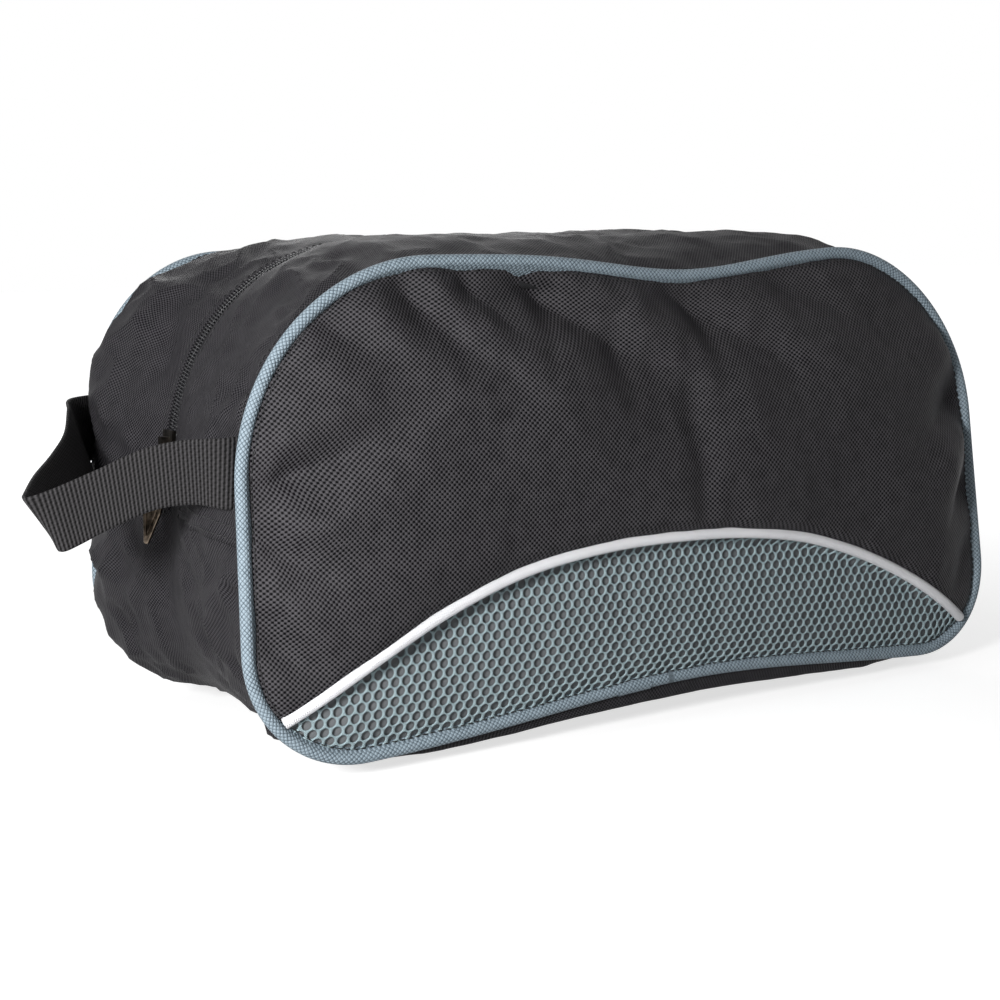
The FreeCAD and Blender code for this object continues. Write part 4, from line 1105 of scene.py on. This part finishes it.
def make_pull():
    """The bronze pull: a grooved blade on two arms, twisted and swung as it hangs."""
    rings = pull_rings()
    count = len(rings[0][0])
    blade = np.concatenate([np.stack([np.full(count, level), loop[:, 0], loop[:, 1]], 1)
                            for loop, level in rings])
    faces = ring_faces(len(rings), count)
    faces.append(tuple(range(count)))
    faces.append(tuple(reversed(range((len(rings) - 1) * count, len(rings) * count))))
    arms = [bar((0, y, 0.2), (0, y, -8.5), 0.75) for y in (-ARM_ASIDE, ARM_ASIDE)]
    top = bar((0, -BAR_REACH, 0), (0, BAR_REACH, 0), 0.68)
    points, faces = join([(blade, faces), *arms, top])
    twist, swing = math.radians(PULL_TWIST), math.radians(PULL_SWING)
    x, y, z = points.T
    turn = twist * np.clip(-z / 10, 0, 1)
    x, y = x * np.cos(turn) - y * np.sin(turn), x * np.sin(turn) + y * np.cos(turn)
    y = y + np.minimum(z, 0) * PULL_ASIDE
    placed = np.stack([x * math.cos(swing) + z * math.sin(swing), y,
                       z * math.cos(swing) - x * math.sin(swing)], 1) + PULL_PIN
    made = make_object("pull_tab", placed, faces, smooth=False)
    finish_piece(made, "pull", body="pull", replaces=["zip_pull"])


# ---------------------------------------------------------------- stitches
STITCH_PITCH, STITCH_LENGTH, STITCH_RADIUS = 3.1, 2.4, 0.26
# A stitch's rings: share of its length, share of its radius, and height over the cloth.
STITCH_RINGS = [(-0.5, 0.25, -0.25), (-0.25, 0.9, 0.05), (0.0, 1.0, 0.12), (0.25, 0.9, 0.05),
                (0.5, 0.25, -0.25)]
STITCH_LIFT = 0.1
PIPING_STITCHES_AT = 0.955     # share of the gusset's reach, just inside the piping


def make_stitches(name, line, normals, closed=False):
    """A row of raised thread stitches along a line, half sunk into the cloth."""
    both = resample(np.concatenate([line, normals], 1), STITCH_PITCH, closed)
    spots, normals = both[:, :3], both[:, 3:]
    run, normals, across = turned_frame(np.gradient(spots, axis=0), normals)
    ring = circle(1.0, 6)
    faces = ring_faces(5, 6) + [tuple(range(5, -1, -1)), tuple(range(24, 30))]
    stitches = []
    for spot, forward, up, side in zip(spots, run, normals, across):
        rings = [spot + forward * share * STITCH_LENGTH + up * level
                 + (ring[:, :1] * up + ring[:, 1:] * side) * size * STITCH_RADIUS
                 for share, size, level in STITCH_RINGS]
        stitches.append((np.concatenate(rings), faces))
    finish_piece(make_object(name, *join(stitches)), "thread")


def make_gusset_stitches():
    """Stitches along the zip, beside both pipings and over the seams of both ends."""
    rows = gusset_rows("zip")
    for side, name in NAMES.items():
        for label, share in (("zip", (ZIP_GAP + 2.6) / GUSSET_REACH),
                             ("piping", PIPING_STITCHES_AT)):
            line = BAG.gusset(rows, np.array([side * share]), STITCH_LIFT)[:, 0]
            make_stitches(f"{name}_{label}_stitches", line, BAG.crown_normal[rows])
    depths = np.linspace(-END_SEAM_EDGE, END_SEAM_EDGE, 70)
    depths = depths[np.abs(depths) > 0.11]
    for name, end in BAG.ends.items():
        for k, level in enumerate((ZIP_SEAM - 1.2, ZIP_SEAM + 3.4)):
            row = int(np.argmin(np.where(end, np.abs(BAG.crown[:, 2] - level), np.inf)))
            points = BAG.gusset(np.array([row]), depths, STITCH_LIFT)[0]
            for side, label in NAMES.items():
                some = depths * side > 0
                normals = np.repeat(BAG.crown_normal[[row]], some.sum(), 0)
                make_stitches(f"{name}_{label}_end_stitches_{k + 1}", points[some], normals)


def make_panel_stitches(side):
    """The row of stitches that shows in the gap between a panel and its piping."""
    flat = BAG.flat[side]
    line = panel_surface(shrink_loop(flat, 3.6), side, flat, 0.15)
    normals = np.repeat([[0.0, float(side), 0.0]], len(line), 0)
    make_stitches(f"{NAMES[side]}_panel_stitches", line, normals, closed=True)


# ---------------------------------------------------------------- handle
STRAP_WIDTH, STRAP_STEP, STRAP_COLUMNS = 25.0, 1.6, 12
# The handle's two edges, from its front root, out to the crease and round to its back root.
HANDLE_TOP = [(-163.0, -66.0, 125.9), (-177.0, -68.5, 125.5), (-188.0, -58.0, 124.6),
              (-199.0, -49.0, 121.5), (-214.0, -41.5, 114.5), (-228.0, -37.0, 108.8),
              (-235.5, -34.5, 106.4), (-237.0, -32.0, 106.2), (-235.5, -28.5, 107.0),
              (-226.0, -10.0, 110.5), (-213.0, 10.0, 115.0), (-201.5, 28.0, 121.0),
              (-194.5, 44.0, 128.5), (-189.0, 58.0, 131.0), (-171.0, 73.0, 131.0)]
HANDLE_LOW = [(-165.0, -67.0, 100.3), (-176.0, -67.0, 100.0), (-184.0, -57.0, 101.3),
              (-195.0, -49.0, 99.6), (-208.0, -42.5, 94.0), (-219.0, -37.0, 88.0),
              (-223.5, -34.8, 85.8), (-225.0, -32.0, 85.6), (-223.5, -28.5, 86.4),
              (-214.0, -10.0, 87.0), (-200.0, 12.0, 88.5), (-187.0, 34.0, 92.0),
              (-182.0, 50.0, 97.0), (-182.0, 62.0, 102.0), (-173.0, 74.0, 105.0)]


def make_handle():
    """The strap, in one piece from its front root round to its back root, with its ends sewn to the
    bag.
    """
    edges = [spline(HANDLE_LOW, 0.5), spline(HANDLE_TOP, 0.5)]
    share = np.linspace(0, 1, int(len(edges[0]) * 0.5 / STRAP_STEP))
    low, top = (np.stack([np.interp(share, np.linspace(0, 1, len(line)), line[:, k])
                          for k in range(3)], 1) for line in edges)
    width = np.linspace(0, 1, STRAP_COLUMNS)[None, :, None]
    points = low[:, None] * (1 - width) + top[:, None] * width
    steps = np.linalg.norm(np.diff(points.mean(1), axis=0), axis=1)
    along = np.concatenate([[0], np.cumsum(steps)])
    across = np.linspace(0, STRAP_WIDTH, STRAP_COLUMNS)
    uv = np.stack(np.meshgrid(along, across, indexing="ij"), -1).reshape(-1, 2)
    made = make_object("handle_strap", points.reshape(-1, 3), grid_faces(*points.shape[:2]), uv)
    thicken(made, 1.3, 0.0)
    soften(made)
    made.data.materials.append(MATERIAL["webbing"])
    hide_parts("handle_webbing", "handle_front_tail", "handle_back_tail")
    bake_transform(made)


# ---------------------------------------------------------------- stage, light and camera
GLOW = (0.25, 0.8, 0.70, 1.0)   # the floor's own light: from and to distances, and strengths


def make_stage():
    """A pale floor that takes the bag's shadow and shows as white further off."""
    size = 6.0
    mesh = bpy.data.meshes.new("floor")
    mesh.from_pydata([(-size, -size, 0), (size, -size, 0), (size, size, 0), (-size, size, 0)],
                     [], [(0, 1, 2, 3)])
    floor = bpy.data.objects.new("floor", mesh)
    bpy.context.scene.collection.objects.link(floor)
    made, tree, shader = new_material("floor_white", (0.55, 0.55, 0.55), 0.9, specular=0.1)
    glow = tree.nodes.new("ShaderNodeEmission")
    coords = tree.nodes.new("ShaderNodeTexCoord")
    distance = tree.nodes.new("ShaderNodeVectorMath")
    distance.operation = "LENGTH"
    tree.links.new(coords.outputs["Object"], distance.inputs[0])
    far = tree.nodes.new("ShaderNodeMapRange")
    for socket, value in zip(("From Min", "From Max", "To Min", "To Max"), GLOW):
        far.inputs[socket].default_value = value
    tree.links.new(distance.outputs["Value"], far.inputs["Value"])
    strength = math_node(tree, "MULTIPLY", seen_directly(tree), far.outputs[0])
    tree.links.new(strength, glow.inputs["Strength"])
    both = tree.nodes.new("ShaderNodeAddShader")
    out = tree.nodes["Material Output"]
    tree.links.new(shader.outputs[0], both.inputs[0])
    tree.links.new(glow.outputs[0], both.inputs[1])
    tree.links.new(both.outputs[0], out.inputs["Surface"])
    floor.data.materials.append(made)


AMBIENT = 0.12          # strength of the world's light on the bag


def make_world():
    """A white background that sheds only a little light on the bag."""
    world = bpy.data.worlds.new("studio")
    bpy.context.scene.world = world
    world.use_nodes = True
    tree = world.node_tree
    strength = math_node(tree, "MULTIPLY_ADD", seen_directly(tree), 1 - AMBIENT, AMBIENT)
    tree.links.new(strength, tree.nodes["Background"].inputs["Strength"])
    tree.nodes["Background"].inputs["Color"].default_value = (1, 1, 1, 1)


def area_light(name, place, aim, size, power):
    data = bpy.data.lights.new(name, "AREA")
    data.energy, data.size = power, size
    made = bpy.data.objects.new(name, data)
    made.location = place
    made.rotation_euler = (Vector(aim) - Vector(place)).to_track_quat("-Z", "Y").to_euler()
    bpy.context.scene.collection.objects.link(made)


def make_lights():
    centre = (0.0, 0.0, 0.1)
    area_light("key", (-0.66, -0.44, 0.28), (-0.1, 0.0, 0.1), 0.14, 7.6)
    area_light("front", (0.05, -1.05, 0.72), centre, 0.35, 0.6)
    area_light("top", (-0.5, -0.2, 1.3), centre, 0.6, 1.2)
    area_light("left", (-1.05, 0.20, 0.45), centre, 0.6, 1.0)
    area_light("behind", (0.45, 1.15, 0.70), centre, 0.7, 4.0)


def make_camera():
    """The photograph's own view."""
    data = bpy.data.cameras.new("camera")
    data.lens, data.sensor_width = 63.0, 36.0
    camera = bpy.data.objects.new("camera", data)
    yaw, pitch, roll = 0.558, 0.151, -0.017
    forward = Vector((math.sin(yaw) * math.cos(pitch), math.cos(yaw) * math.cos(pitch),
                      -math.sin(pitch)))
    right = Vector((math.cos(yaw), -math.sin(yaw), 0))
    up = right.cross(forward)
    right, up = (right * math.cos(roll) + up * math.sin(roll),
                 up * math.cos(roll) - right * math.sin(roll))
    camera.matrix_world = Matrix((right, up, -forward)).transposed().to_4x4()
    camera.location = (-0.4139, -0.6275, 0.1934)
    data.clip_start, data.clip_end = 0.05, 30
    bpy.context.scene.collection.objects.link(camera)
    bpy.context.scene.camera = camera


make_camera()
for SIDE in (-1, 1):
    make_panel(SIDE)
    make_piping(SIDE)
    make_panel_stitches(SIDE)
make_gusset()
make_gusset_stitches()
make_end_tapes()
make_coils()
for NODE in ("front_zip_tape", "back_zip_tape"):
    dress_cad(NODE, "tape")
for NODE in ("zip_top_stops", "zip_bottom_stop", "zip_slider_body", "zip_slider_bridge"):
    dress_cad(NODE, "slider")
make_pull()
make_handle()
make_stage()
make_world()
make_lights()
bpy.context.scene.view_settings.view_transform = "Standard"
